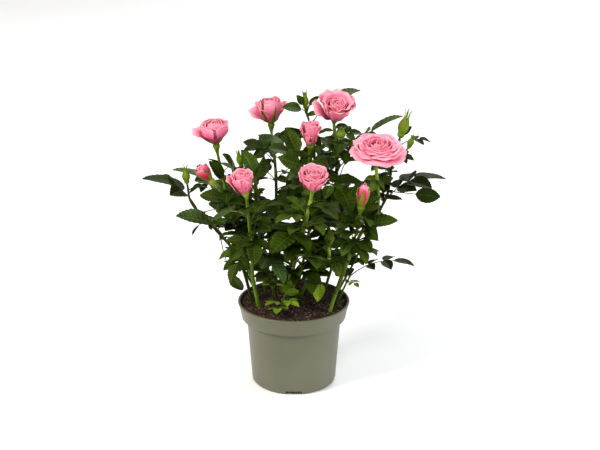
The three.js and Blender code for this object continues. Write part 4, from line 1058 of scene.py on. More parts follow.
def sepal(builder, foot, way, side, profile, width):
    """A narrow pointed blade that follows a profile of (out, up, width share)."""
    across = unit(np.cross(way, side))
    top = []
    for out, up, share in profile:
        centre = foot + side * out + way * up
        for u in (-1, 0, 1):
            bulge = -abs(u) * SEPAL["bulge"] * width * share
            top.append(centre + across * (u * width * share / 2) + side * bulge)
    under = [point - side * SEPAL["thickness"] for point in top]
    builder.add(top + under, sheet_faces(len(profile), 3), FRESH)


def hip_profile(radius, stalk, height):
    """A hip: a funnel that swells to its widest near its top."""
    neck = [(0, HIP_SUNK), (stalk, HIP_SUNK), (stalk * HIP_NECK[0], height * HIP_NECK[1])]
    return neck + [(radius * out, height * up) for out, up in HIP_SHAPE]


def add_lathe(builder, foot, way, profile, segments, kind):
    points = lathe_rings(profile, segments) @ turn_to(way).T + foot
    builder.add(points, grid_faces(len(profile), segments, closed=True), kind)


def add_bud(builder, name, foot, tip, radius, draw):
    """A green bud: hip, closed petals, and five sepals drawn out to points past them."""
    way = unit(tip - foot)
    length = float(np.linalg.norm(tip - foot))
    hip = length * BUD["hip"]
    petals = FLUSHED if radius > BUD["flushedFrom"] else FRESH
    radius = radius * BUD["fuller"]
    hip_line = hip_profile(radius * BUD["hipWidth"], BUD_STALK, hip)
    add_lathe(builder, foot, way, hip_line, BUD["hipSides"], FRESH)
    body = [(radius * out, hip + length * up) for out, up in BUD["body"]]
    foot_out, foot_up = BUD["foot"]
    top_radius, top_up = BUD["top"]
    body = [(radius * foot_out, hip * foot_up), *body, (top_radius, hip + length * top_up)]
    add_lathe(builder, foot, way, body, BUD["bodySides"], petals)
    root_out, root_up, root_width = BUD["sepalFoot"]
    for side in fan(way, next(draw) * PHASE):
        flare = BUD["flareLow"] + BUD["flareRange"] * next(draw) + BUD["spread"].get(name, 0)
        blade = [(radius * out, hip + length * up, width) for out, up, width in BUD["sepals"]]
        profile = [(radius * root_out, hip * root_up, root_width), *blade,
                   (radius * 0.34 + flare * 0.3, hip + length * 0.62, 0.26),
                   (radius * 0.3 + flare, length * (0.9 + 0.1 * next(draw)), 0.05)]
        sepal(builder, foot, way, side, profile, radius * BUD["sepalWidth"])


# Blooms

PETAL = {
    "rows": 10, "columns": 10, "thickness": 0.34, "tones": 10, "corner": 0.15, "point": 0.05,
    "pointWidth": 0.2, "footWidth": 0.56, "widening": 0.44, "openBy": 1.5, "curlFrom": 0.74,
    "curlOver": 0.26, "cornerCurl": 0.6, "curlMost": 1.2, "curlDrop": 0.6, "waveUp": 1.7,
    "waveOut": 2.1, "waveOutShare": 0.6, "rise": 0.78, "margin": 0.36, "streak": 0.1, "outside": 0.1,
}
PETAL_FACES = sheet_faces(PETAL["rows"] + 1, PETAL["columns"] + 1)
# The heart's layers: how many petals, how wide and how deep in colour, and a layer's profile.
# The inner layers' deeper colour is partly their own and partly painted shade between them.
HEART = {
    "perLayer": 3, "inMiddle": 2, "first": 0.6, "last": 0.4, "halfTurn": 82, "narrowing": 18,
    "deeper": 0.3, "inward": 0.8, "aside": 4, "spiral": 0.1, "foot": 0.5, "sunk": -0.6,
    "low": (0.72, 0.95), "high": (0.99, 1), "mouthFrom": 0.4, "mouthGain": 0.6,
    "heights": (0.12, 0.32, 0.55, 0.75, 0.91, 1),
}
OUTER = {
    "steps": 16, "sunk": 0.5, "curlLow": 0.9, "curlRange": 0.5, "deepShare": 0.5, "spiral": 0.06,
}
HIP_SIDES = 16
SEPALS = {
    "reachLow": 0.85, "reachRange": 0.35, "width": 4.0, "length": 20, "tilt": 4, "tiltRange": 24,
    "fall": 3, "rooted": 0.7, "sunk": 0.6, "rootWidth": 0.8, "least": 2.4, "clear": 0.5,
    "standOff": 2.4,
}
HUGGING = [(0, 0.8), (0.2, 1), (0.42, 0.86), (0.7, 0.55), (1, 0.05)]
SPREADING = [(0.25, 1), (0.5, 0.78), (0.75, 0.42), (1, 0.05)]


def add_petal(builder, rose, profile, azimuth, half_turn, curl, wave, draw, deep, spiral):
    """A thin curved petal. `profile` gives (radius, height) by share of its length, `curl` rolls
    its edge outward, and `deep` is how much of it is deep pink: partly the rose's own colour and
    partly painted shade at its foot, where the petals fold together."""
    rows, columns = PETAL["rows"] + 1, PETAL["columns"] + 1
    v = np.linspace(0, 1, rows)[:, None]
    u = np.linspace(-1, 1, columns)[None, :]
    corner = np.abs(u) ** 3
    point = PETAL["point"] * np.exp(-(u / PETAL["pointWidth"]) ** 2)
    place = v * (1 - PETAL["corner"] * corner + point * v)
    shares = np.linspace(0, 1, len(profile))
    radius = np.interp(place, shares, [r for r, _ in profile])
    height = np.interp(place, shares, [h for _, h in profile])
    opened = np.sin(np.minimum(v * PETAL["openBy"], 1) * math.pi / 2)
    width = PETAL["footWidth"] + PETAL["widening"] * opened
    phase = next(draw) * PHASE
    radius = radius * (1 + spiral * u)
    edge = np.maximum(v - PETAL["curlFrom"], 0) / PETAL["curlOver"]
    edge = np.clip(edge + PETAL["cornerCurl"] * corner * v, 0, PETAL["curlMost"]) ** 2
    radius = radius + curl * edge
    height = height - PETAL["curlDrop"] * abs(curl) * edge
    height = height + wave * np.sin(PETAL["waveUp"] * u * math.pi + phase) * v ** 3
    outward = np.cos(PETAL["waveOut"] * u * math.pi + phase)
    radius = radius + PETAL["waveOutShare"] * wave * outward * v ** 3
    turn = azimuth + half_turn * width * u
    points = [radius * np.cos(turn), radius * np.sin(turn), rose["hip"] + height + 0 * turn]
    points = np.stack(points, -1)
    normal = np.cross(np.gradient(points, axis=1), np.gradient(points, axis=0))
    normal /= np.maximum(np.linalg.norm(normal, axis=2, keepdims=True), 1e-9)
    half = normal * PETAL["thickness"] / 2
    sheet = np.concatenate([(points + half).reshape(-1, 3), (points - half).reshape(-1, 3)])
    # The petal's tone runs from deep at its foot to pale at its margin. The deep foot is partly the
    # rose's own colour and partly painted shade in the folds between petals; the streaks are its own.
    margin = np.maximum(np.abs(u) ** 5 * v, v ** 7)
    shade = PETAL["rise"] * (place - deep) / (1 - deep) + PETAL["margin"] * margin
    shade = shade + PETAL["streak"] * np.sin(3 * u + phase) * (1 - v)
    shade = np.concatenate([shade.reshape(-1), shade.reshape(-1) - PETAL["outside"]])
    tones = np.clip(shade[PETAL_FACES].mean(1) * PETAL["tones"], 0, PETAL["tones"] - 1)
    builder.add(sheet @ rose["turn"].T + rose["foot"], PETAL_FACES, tones.astype(int))


def heart_profile(rose, share):
    """One wrapped layer of the heart, from its middle at share 0 to its outside at 1."""
    heart = rose["heart"]
    widest = rose["radius"] * rose["heartShare"]
    low = min(widest, BLOOM["snug"] * radius_at(rose["path"], heart * BLOOM["lowPlace"]))
    high = min(widest * BLOOM["highShare"],
               BLOOM["snug"] * radius_at(rose["path"], heart * BLOOM["highPlace"]))
    rim = heart * float(np.interp(share, LAYER_PLACES, rose["rims"]))
    mouth = float(np.interp(share, LAYER_PLACES, rose["mouths"]))
    radii = [BLOOM["hipRadius"] / 2, *(low * part for part in HEART["low"]),
             *(high * part for part in HEART["high"]),
             high * (HEART["mouthFrom"] + HEART["mouthGain"] * mouth), high * mouth]
    heights = [HEART["sunk"], *(part * rim for part in HEART["heights"])]
    return [(HEART["foot"] + radius * share, height) for radius, height in zip(radii, heights)]


def outer_profile(rose, steeper, part):
    angles = [angle + steeper for angle in rose["angles"]]
    length = petal_length(rose) * part
    line = petal_line(BLOOM["hipRadius"] / 2, length, angles, OUTER["steps"])
    return [(radius, height - OUTER["sunk"]) for radius, height, _ in line]


def add_heart(petals, rose, draw):
    """Wrapped layers of petals, each a little out of step with the others."""
    layers = rose["layers"]
    count = 0
    for layer in range(layers):
        share = (layer + HEART["first"]) / (layers - HEART["last"])
        half_turn = math.radians(HEART["halfTurn"] - HEART["narrowing"] * share)
        deep = rose["deep"] + HEART["deeper"] * (1 - share)
        for _ in range(HEART["perLayer"] if layer else HEART["inMiddle"]):
            lift = 1 + rose["ragged"] * (next(draw) - 0.5)
            inward = 1 + rose["ragged"] * (next(draw) - HEART["inward"])
            azimuth = math.radians(SPIRAL["turn"] * count)
            azimuth += rose["ragged"] * (next(draw) - 0.5) * HEART["aside"]
            profile = [(radius * inward, height * lift)
                       for radius, height in heart_profile(rose, share)]
            add_petal(petals, rose, profile, azimuth, half_turn, rose["roll"] * share,
                      rose["wave"] * share, draw, deep, HEART["spiral"])
            count += 1


def add_bloom(petals, greens, rose, draw):
    """The heart, open outer petals, the hip and its sepals."""
    rose["turn"] = turn_to(rose["way"])
    add_heart(petals, rose, draw)
    for azimuth, steeper, part, half_turn in rose["outer"]:
        curl = rose["roll"] * (OUTER["curlLow"] + OUTER["curlRange"] * next(draw))
        add_petal(petals, rose, outer_profile(rose, steeper, part), math.radians(azimuth),
                  math.radians(half_turn), curl, rose["rimWave"], draw,
                  rose["deep"] * OUTER["deepShare"], OUTER["spiral"])
    hip = hip_profile(BLOOM["hipRadius"], BLOOM["stalkRadius"], rose["hip"])
    add_lathe(greens, rose["foot"], rose["way"], hip, HIP_SIDES, PALE if rose["paleHip"] else FRESH)
    style, reach = rose["sepals"]
    for side in fan(rose["way"], next(draw) * PHASE):
        drawn = reach * (SEPALS["reachLow"] + SEPALS["reachRange"] * next(draw))
        profile = hugging(rose, drawn) if style == "hug" else spreading(rose, drawn, draw)
        sepal(greens, rose["foot"], rose["way"], side, profile, SEPALS["width"])


def hugging(rose, drawn):
    """The profile of a sepal that lies against the petals."""
    radii, heights = zip(*heart_profile(rose, 1))
    profile = []
    for share, width in HUGGING:
        place = share * drawn * (len(radii) - 1)
        radius = float(np.interp(place, range(len(radii)), np.maximum(radii, SEPALS["least"])))
        height = float(np.interp(place, range(len(radii)), heights))
        out = radius + SEPALS["clear"] + SEPALS["standOff"] * share ** 3
        profile.append((out, rose["hip"] + height, width))
    return profile


def spreading(rose, drawn, draw):
    """The profile of a sepal that stands off."""
    tilt = math.radians(SEPALS["tilt"] + SEPALS["tiltRange"] * (next(draw) - 0.5))
    root = BLOOM["hipRadius"] * SEPALS["rooted"]
    profile = [(root, rose["hip"] - SEPALS["sunk"], SEPALS["rootWidth"])]
    for share, width in SPREADING:
        length = drawn * SEPALS["length"] * share
        rise = math.sin(tilt) * length - SEPALS["fall"] * share ** 2
        profile.append((root + math.cos(tilt) * length, rose["hip"] + rise, width))
    return profile


LAYER_PLACES = (0, 0.5, 1)
# How each bloom is dressed. `layers` wrap its heart; `rims` and `mouths` are their heights and
# mouth widths at the middle, halfway and outside; `wave` and `rimWave` ruffle the heart and the
# outer petals, and `ragged` sets the heart's petals out of step; `outer` petals have azimuth,
# slope, length share and half width in degrees; sepals have a style and a reach.
DRESS = {
    "left_bloom": {
        "layers": 5, "rims": (1.12, 1.12, 1.02), "mouths": (0.36, 0.56, 0.8), "roll": 0.9,
        "wave": 0.6, "rimWave": 0.7, "ragged": 0.08, "deep": 0.26, "sepals": ("hug", 0.4),
        "outer": [(-100, 17, 0.96, 52), (-45, 16, 0.98, 46), (176, -6, 1.02, 38),
                  (8, 13, 0.99, 44), (60, 12, 0.97, 46), (120, 10, 0.97, 46), (-150, 13, 0.94, 44)],
    },
    "back_bloom": {
        "layers": 4, "rims": (0.94, 1.02, 1.0), "mouths": (0.34, 0.5, 0.74), "roll": 0.8,
        "wave": 0.5, "rimWave": 0.7, "ragged": 0.06, "deep": 0.2, "sepals": ("hug", 0.86),
        "outer": [(184, -16, 0.94, 46), (205, 8, 0.92, 50), (2, 6, 1, 40), (80, 8, 0.96, 46),
                  (140, 4, 0.95, 40)],
    },
    "top_bloom": {
        "layers": 8, "rims": (0.98, 1.06, 0.96), "mouths": (0.56, 0.8, 1.0), "roll": 1.4,
        "wave": 0.9, "rimWave": 0.9, "ragged": 0.14, "deep": 0.1, "sepals": ("hug", 0.4),
        "outer": [(-110, 14, 0.96, 34), (-60, 12, 0.96, 34), (-12, 12, 0.98, 34), (40, 12, 0.97, 36),
                  (92, 12, 0.96, 36), (146, 12, 0.97, 34), (198, 10, 0.98, 32), (-85, 4, 0.95, 36),
                  (-30, 4, 0.94, 34), (25, 2, 0.94, 34), (80, 4, 0.96, 36), (135, 2, 0.98, 34),
                  (190, -12, 1, 30)],
    },
    "centre": {
        "layers": 4, "rims": (1.14, 1.12, 1.04), "mouths": (0.7, 0.85, 1.04), "roll": 1.0,
        "wave": 0.8, "rimWave": 1.2, "ragged": 0.1, "deep": 0.2, "sepals": ("hug", 0.5),
        "outer": [(0, 2, 0.97, 42), (-120, 4, 0.8, 40), (120, 2, 1.04, 42)],
    },
    "right_bloom": {
        "layers": 7, "rims": (1.06, 1.1, 0.94), "mouths": (0.46, 0.76, 1.08), "roll": 1.8,
        "wave": 1.5, "rimWave": 0.7, "ragged": 0.2, "deep": 0.08, "sepals": ("spread", 0.5),
        "outer": [(-110, 26, 0.8, 34), (-60, 28, 0.82, 34), (-10, 26, 0.8, 34), (50, 30, 0.84, 34),
                  (110, 30, 0.84, 34), (170, 28, 0.82, 34), (-140, 14, 0.88, 30),
                  (-80, 16, 0.88, 34), (-25, 14, 0.88, 32), (25, 18, 0.9, 32), (80, 18, 0.9, 32),
                  (140, 18, 0.9, 32), (-160, 3, 0.96, 36), (-98, 3, 0.92, 40),
                  (-38, -2, 0.91, 34), (8, 2, 0.92, 34), (62, 4, 0.94, 38), (120, 4, 0.94, 38)],
    },
    "front_bloom": {
        "layers": 7, "rims": (1.0, 1.06, 1.0), "mouths": (0.56, 0.8, 1.0), "roll": 1.3,
        "wave": 0.8, "rimWave": 0.8, "ragged": 0.12, "deep": 0.1, "sepals": ("hug", 0.3),
        "outer": [(-130, 8, 0.92, 46), (-75, 8, 0.9, 44), (-20, 6, 0.92, 42), (40, 6, 0.95, 46),
                  (110, 6, 0.95, 50), (168, 2, 0.94, 40), (-34, -3, 0.84, 38)],
    },
    "front_left": {
        "layers": 5, "rims": (1.04, 1.1, 1.02), "mouths": (0.5, 0.66, 0.86), "roll": 1.0,
        "wave": 0.9, "rimWave": 1.0, "ragged": 0.1, "deep": 0.26, "sepals": ("hug", 0.5),
        "outer": [(-100, 6, 0.94, 46), (-40, 6, 0.95, 44), (30, 4, 0.96, 44), (110, 4, 0.98, 48),
                  (178, -4, 1.0, 40)],
    },
    "left_bud": {
        "layers": 3, "rims": (1.2, 1.18, 1.04), "mouths": (0.22, 0.36, 0.6), "roll": 0.4,
        "wave": 0.3, "rimWave": 0.4, "ragged": 0.08, "deep": 0.44, "sepals": ("hug", 1.08),
        "outer": [],
    },
    "right_bud": {
        "layers": 3, "rims": (1.04, 1.04, 0.92), "mouths": (0.2, 0.3, 0.44), "roll": 0.3,
        "wave": 0.2, "rimWave": 0.3, "ragged": 0.06, "deep": 0.4, "sepals": ("hug", 1.0),
        "outer": [],
    },
}
PALE_HIPS = ("front_bloom", "left_bud", "front_left")


# Materials: every colour is linear

NO_TINT = (1.0, 1.0, 1.0, 1.0)
LEAF_TINT = (0.84, 1.0, 0.36, 1.0)
NOISE_DETAIL = 4.0
RAMP_PLACES = (0.35, 0.65)
RELIEF_DEPTH = 0.0004
VEIN_SHARE = 0.32
# What follows the colours of a petal's material: scale, roughness, relief, its scale, and specular
PETAL_GRAIN = (160, 0.6, 0.15, 900, 0.25)
PETAL_MOTTLE = (0.93, 1.05)
PETAL_SHEEN = 0.12


def srgb(r, g, b):
    """Linear colour from the 0 to 255 values of a screen."""
    return tuple(((c / 255 + 0.055) / 1.055) ** 2.4 if c > 10 else c / 255 / 12.92
                 for c in (r, g, b)) + (1.0,)


def near(colour, gain):
    """A colour a little darker or lighter."""
    return tuple(min(channel * gain, 1) for channel in colour[:3]) + (1.0,)


def set_inputs(node, values):
    for name, value in values.items():
        node.inputs[name].default_value = value


def mottled(name, dark, light, scale, roughness, bump=0.0, bump_scale=0.0, specular=0.5,
            tint=NO_TINT, sheen=0.0):
    """A surface that wanders between two near colours, with a fine relief."""
    material = bpy.data.materials.new(name)
    material.use_nodes = True
    nodes, links = material.node_tree.nodes, material.node_tree.links
    shader = nodes["Principled BSDF"]
    place = nodes.new("ShaderNodeTexCoord")

    def spots(size):
        node = nodes.new("ShaderNodeTexNoise")
        set_inputs(node, {"Scale": size, "Detail": NOISE_DETAIL})
        links.new(place.outputs["Object"], node.inputs["Vector"])
        return node.outputs["Fac"]

    ramp = nodes.new("ShaderNodeValToRGB")
    for end, position, colour in zip(ramp.color_ramp.elements, RAMP_PLACES, (dark, light)):
        end.position = position
        end.color = colour
    links.new(spots(scale), ramp.inputs["Fac"])
    links.new(ramp.outputs["Color"], shader.inputs["Base Color"])
    set_inputs(shader, {"Roughness": roughness, "Specular IOR Level": specular,
                        "Specular Tint": tint, "Sheen Weight": sheen})
    if bump:
        relief = nodes.new("ShaderNodeBump")
        set_inputs(relief, {"Strength": bump, "Distance": RELIEF_DEPTH})
        links.new(spots(bump_scale), relief.inputs["Height"])
        links.new(relief.outputs["Normal"], shader.inputs["Normal"])
    return material


def skins(*rows):
    """Materials from rows of a name, a dark and a light colour of a screen, and the rest."""
    return [mottled(name, srgb(*dark), srgb(*light), *rest) for name, dark, light, *rest in rows]


def petal_set(name, *screen):
    """The tones of a petal, from deep at its foot and in its folds to pale at its edge. The deep
    end is partly the rose's own colour and partly painted shade in the folds.
    """
    deep, middle, pale = (srgb(*colour) for colour in screen)
    tones = []
    for i in range(PETAL["tones"]):
        share = 2 * i / (PETAL["tones"] - 1)
        start, end, part = (deep, middle, share) if share < 1 else (middle, pale, share - 1)
        colour = [a + (b - a) * part for a, b in zip(start[:3], end[:3])]
        dark, light = (near(colour, gain) for gain in PETAL_MOTTLE)
        tones.append(mottled(f"petal_{name}_{i}", dark, light, *PETAL_GRAIN, sheen=PETAL_SHEEN))
    return tones


def leaf_set(name, roughness, *screen):
    """One shade's materials, in the order of UPPER, UNDER, RIB, STALK and VEIN."""
    upper, under, rib = (srgb(*colour) for colour in screen)
    vein = [a + (b - a) * VEIN_SHARE for a, b in zip(upper, rib)]
    parts = [
        ("upper", upper, 0.65, 1.4, 90, roughness, 0.25, 700, 0.14),
        ("under", under, 0.85, 1.15, 120, 0.7, 0.2, 900, 0.12),
        ("rib", rib, 0.85, 1.15, 150, 0.5, 0.0, 0.0, 0.3),
        ("stalk", rib, 0.8, 1.2, 150, 0.5, 0.0, 0.0, 0.3),
        ("vein", vein, 0.75, 1.3, 90, roughness, 0.25, 700, 0.14),
    ]
    return [mottled(f"leaf_{name}_{part}", near(colour, low), near(colour, high), *grain, LEAF_TINT)
            for part, colour, low, high, *grain in parts]


LEAF_SHADES = {
    # The deep set is near black: painted shade for the leaves at the crown's far left and right.
    "deep": leaf_set("deep", 0.55, (18, 31, 1), (42, 56, 16), (34, 50, 10)),
    "dark": leaf_set("dark", 0.5, (30, 45, 3), (62, 76, 24), (54, 72, 14)),
    "middle": leaf_set("middle", 0.5, (44, 63, 12), (80, 96, 38), (82, 102, 32)),
    "grey": leaf_set("grey", 0.5, (44, 62, 26), (88, 100, 58), (82, 100, 48)),
    "fresh": leaf_set("fresh", 0.5, (84, 108, 18), (120, 136, 50), (126, 148, 50)),
}
STEM_TONES = skins(
    ("stem_dark", (32, 40, 10), (56, 60, 20), 60, 0.5, 0.3, 300, 0.15, LEAF_TINT),
    ("stem_plain", (48, 66, 12), (74, 96, 24), 60, 0.5, 0.3, 300, 0.15, LEAF_TINT),
    ("stem_fresh", (74, 100, 14), (106, 132, 30), 60, 0.5, 0.25, 300, 0.2, LEAF_TINT),
    ("stem_pale", (112, 136, 30), (150, 170, 56), 60, 0.5, 0.25, 300, 0.25),
    ("bud_flush", (150, 60, 52), (198, 104, 84), 90, 0.5, 0.2, 400),
)
PETAL_PINK = petal_set("pink", (190, 44, 88), (227, 112, 144), (245, 160, 178))
PETAL_DEEP = petal_set("deep", (164, 14, 48), (208, 62, 98), (242, 150, 172))


# Building the bush

REAR_FROM = 18
# Leaves whose tip is farther than this to either side get the near-black deep set, painted shade.
PAINTED_SHADE_FROM = 84
LOW_TO = 108
FRONT_TO = -25
FRONT_BELOW = 150
# The shades of the leaves in each part of the crown, and the draws below which each is taken.
# The outer part's near-black deep shade is painted shade on the leaves at the crown's far sides.
SHADES = {
    "low": [(0.6, "fresh"), (1, "middle")],
    "front": [(0.5, "middle"), (0.7, "grey"), (1, "dark")],
    "outer": [(1, "deep")],
    "rest": [(0.1, "grey"), (0.38, "middle"), (1, "dark")],
}
# The leaves whose shade stands out in the crown: their shoot, and their share of its line
CHOSEN_SHADES = {
    ("top_bloom", 0.68): "grey", ("front_bloom", 0.7): "middle", ("front_bloom", 0.78): "middle",
    ("left_bloom", 0.72): "grey", ("low_centre", 0.7): "grey", ("low_centre", 0.9): "middle",
    ("left_bloom", 0.7): "dark", ("low_bud", 0.56): "fresh",
}
# The angle in degrees past which the faces of each kind of piece meet in a sharp edge
SHARP = {"leaves": 55, "stems": 50, "petals": 50, "pot": 32, "peat": 60, "crumbs": 30}


def shade_for(name, leaf, draw):
    """The shade of a leaf: dark above, some fresh ones low down and at the front, and near black at
    the far left and right, where the darkness is painted shade.
    """
    x, y, z = leaf["leaflets"][0]["root"]
    roll = next(draw)
    part = "rest"
    if abs(x) > PAINTED_SHADE_FROM:
        part = "outer"
    elif z < LOW_TO:
        part = "low"
    elif y < FRONT_TO and z < FRONT_BELOW:
        part = "front"
    drawn = next(shade for share, shade in SHADES[part] if roll < share)
    return CHOSEN_SHADES.get((name, leaf["share"]), drawn)


def build_leaves():
    """Every shoot's leaves, each shade joined apart, for the front and for the rear."""
    builders = {}
    draw = stream(SEEDS["leaves"])
    for name, shoot in SHOOTS.items():
        for leaf in shoot["grown"]:
            shade = shade_for(name, leaf, draw)
            side = "rear" if shoot["line"].at(1)[1] > REAR_FROM else "front"
            add_leaf(builders.setdefault((shade, side), Builder()), leaf, draw)
    masses = [f"foliage_{name}" for name, shoot in SHOOTS.items() if shoot["bare"] < 1]
    for (shade, side), builder in builders.items():
        replaced = masses if (shade, side) == ("dark", "front") else ()
        builder.make(f"leaves_{shade}_{side}", LEAF_SHADES[shade], "leaves", SHARP["leaves"], replaced)


def build_stems():
    """Every shoot's stem and green buds, and the names of the solids that the canes stand for."""
    stems = Builder()
    draw = stream(SEEDS["stems"])
    for name, shoot in SHOOTS.items():
        add_stem(stems, name, shoot, draw)
        for stalk in shoot.get("stalks", []):
            add_rose_stalk(stems, shoot, stalk)
        for at, foot, tip, radius in green_buds(shoot):
            if at < 1:
                add_bud_stem(stems, shoot, at, foot, tip)
            add_bud(stems, name, foot, tip, radius, draw)
    limbs = [shoot.get("cane", f"cane_{name}") for name, shoot in SHOOTS.items()
             if shoot["bareSteps"]]
    return stems, limbs


def build_blooms(stems):
    draw = stream(SEEDS["blooms"])
    for name, rose in ROSES.items():
        rose.update(DRESS[name])
        rose["paleHip"] = name in PALE_HIPS
        petals = Builder()
        add_bloom(petals, stems, rose, draw)
        pinks = PETAL_DEEP if name.endswith("bud") else PETAL_PINK
        petals.make(f"bloom_{name}", pinks, "petals", SHARP["petals"], [f"rose_{name}"])


# Pot and soil

POT_SKIN, SOIL_SKIN = skins(
    ("pot_skin", (88, 88, 70), (98, 98, 79), 14, 0.42, 0.12, 420, 0.4),
    ("peat", (20, 13, 9), (58, 40, 28), 130, 0.95, 0.9, 500, 0.15),
)
CRUMB_SKINS = skins(
    ("crumb_dark", (24, 16, 12), (50, 35, 26), 300, 0.95),
    ("crumb_brown", (74, 52, 36), (104, 76, 52), 300, 0.9),
    ("crumb_pale", (150, 130, 100), (190, 172, 140), 300, 0.85),
)
POT_SEGMENTS = 128
POT_ROUNDING = {"radius": 0.9, "steps": 4, "mostShare": 0.45}
HOUSING_FOOT = 0.4
HOUSING_ROOM_FLOOR = 0.6
DRAIN = {"low": 0.5, "high": 9, "sides": 24}

PEAT = {"rings": 44, "segments": 120, "sunk": 0.35, "edgeBand": 7, "wallTop": 1.4, "floorRadius": 0.5}
# The soil's lumps, in rows of fineness, layer of the noise, and height
LUMPS = [(0.16, 3.0, 0.7), (0.55, 9.0, 0.5)]
# A crumb's rings, in rows of height, width and turn
CRUMB_RINGS = [(-0.8, 0.6, 0.0), (0.15, 1.0, 0.5), (0.9, 0.55, 0.2)]
CRUMB_SIDES = 5
# The least and the range of a crumb's length, width and height, and of its corners' reach
CRUMB_SHAPE = [(0.7, 0.9), (0.6, 0.6), (0.4, 0.4)]
CRUMB_JITTER = (0.75, 0.5)
CRUMBS = {
    "count": 2600, "fromEdge": 1.2, "sizeLow": 0.35, "sizeRange": 0.9, "brownFrom": 0.66,
    "paleFrom": 0.95, "paleSize": 0.6, "raised": 0.1,
}


def rounded(points):
    """A profile with its inner corners rounded off."""
    result = [points[0]]
    most = POT_ROUNDING["mostShare"]
    for before, corner, after in zip(points, points[1:], points[2:]):
        a, b, c = (np.array(p, float) for p in (before, corner, after))
        size = min(POT_ROUNDING["radius"], np.linalg.norm(b - a) * most, np.linalg.norm(c - b) * most)
        start, end = b + unit(a - b) * size, b + unit(c - b) * size
        result += [tuple(p) for p in quadratic(start, b, end, POT_ROUNDING["steps"])]
    return result + [points[-1]]


def pot_outlines():
    """The pot's outer and inner profiles, from its axis to its rim."""
    height, edge, wall, floor = POT["height"], POT["edge"], POT["wall"], POT["floor"]
    foot, foot_edge, rim = POT["footRadius"], POT["footEdge"], POT["rimRadius"]
    wall_top, collar = POT["wallTopRadius"], POT["collarFootRadius"]
    collar_foot = height - POT["collarHeight"]
    lip_foot = height - POT["lipHeight"]
    below_lip = rim - POT["lipStep"]
    outer = [(0, 0), (foot - foot_edge, 0), (foot, foot_edge), (wall_top, collar_foot),
             (collar - 2 * edge, collar_foot + edge), (collar, collar_foot + 3 * edge),
             (below_lip, lip_foot), (rim, lip_foot + edge), (rim, height - edge),
             (rim - edge, height)]
    inner = [(0, floor), (foot - foot_edge - edge, floor), (foot - wall, foot_edge + floor),
             (wall_top - wall, collar_foot + wall),
             (collar - wall - edge, collar_foot + wall + 2 * edge), (below_lip - wall, height)]
    return outer, inner


def turned_object(name, profile):
    """A closed turned solid whose profile starts and ends on the axis."""
    inner = profile[1:-1]
    points = list(lathe_rings(inner, POT_SEGMENTS))
    low, high = len(points), len(points) + 1
    points += [(0, 0, profile[0][1]), (0, 0, profile[-1][1])]
    faces = grid_faces(len(inner), POT_SEGMENTS, closed=True)
    caps = zip(fan_faces(low, 0, POT_SEGMENTS),
               fan_faces(high, low - POT_SEGMENTS, POT_SEGMENTS, flip=True))
    return plain_object(name, points, faces + [face for pair in caps for face in pair])


def block_object(name, low, high, turn):
    corners = [(x, y, z) for x in (low[0], high[0]) for y in (low[1], high[1])
               for z in (low[2], high[2])]
    faces = [(0, 1, 3, 2), (4, 6, 7, 5), (0, 4, 5, 1), (2, 3, 7, 6), (0, 2, 6, 4), (1, 5, 7, 3)]
    return plain_object(name, turned(corners, turn), faces)


def combine(target, tool, operation):
    """Applies one solid to another and clears it away."""
    modifier = target.modifiers.new("cut", "BOOLEAN")
    modifier.operation = operation
    modifier.solver = "EXACT"
    modifier.object = tool
    graph = bpy.context.evaluated_depsgraph_get()
    mesh = bpy.data.meshes.new_from_object(target.evaluated_get(graph))
    target.modifiers.clear()
    old = target.data
    target.data = mesh
    bpy.data.meshes.remove(old)
    bpy.data.objects.remove(tool)


def notch_turns():
    return [-math.pi / 2 + 2 * math.pi * i / NOTCH["count"] for i in range(NOTCH["count"])]


def build_pot():
    outer, inner = pot_outlines()
    over_lip = (inner[-1][0], POT["height"])
    profile = [outer[0], *rounded([*outer[1:], over_lip]), *inner[-2::-1]]
    pot = turned_object("pot_moulding", profile)
    reach, wall, half = POT["footRadius"], POT["wall"], NOTCH["width"] / 2
    near_side, far_side = reach - NOTCH["depth"], reach + NOTCH["beyond"]
    inside = [(radius + GAP if radius else 0, height) for radius, height in inner[1:]]
    inside = [(0, HOUSING_ROOM_FLOOR), *inside, (0, POT["height"])]
    for i, turn in enumerate(notch_turns()):
        low = (near_side - wall, -half - wall, HOUSING_FOOT)
        high = (far_side, half + wall, NOTCH["height"] + wall)
        housing = block_object(f"housing_{i}", low, high, turn)
        combine(housing, turned_object("inside", inside), "INTERSECT")
        combine(pot, housing, "UNION")
    for i, turn in enumerate(notch_turns()):
        low = (near_side, -half, -NOTCH["height"])
        high = (far_side, half, NOTCH["height"])
        combine(pot, block_object(f"notch_{i}", low, high, turn), "DIFFERENCE")
        centre, sides = reach - NOTCH["depth"] / 2 - wall, DRAIN["sides"]
        radius = NOTCH["drainRadius"]
        ring = lathe_rings([(radius, DRAIN["low"]), (radius, DRAIN["high"])], sides)
        ring = ring + vec(centre * math.cos(turn), centre * math.sin(turn), 0)
        faces = grid_faces(2, sides, closed=True)
        faces += [range(sides - 1, -1, -1), range(sides, 2 * sides)]
        combine(pot, plain_object(f"drain_{i}", ring, faces), "DIFFERENCE")
    pot.data.materials.clear()
    finish_piece(pot, [POT_SKIN], SHARP["pot"], ["pot"])


def soil_height(x, y):
    """The soil's top: a low dome, a lower edge, and lumps."""
    edge = max(math.hypot(x, y) - (SOIL_EDGE - PEAT["edgeBand"]), 0) / PEAT["edgeBand"]
    lumps = sum(noise.noise(Vector((x * fine, y * fine, layer))) * height
                for fine, layer, height in LUMPS)
    return SOIL_TOP - PEAT["sunk"] - SOIL_FALL * edge ** 2 + lumps


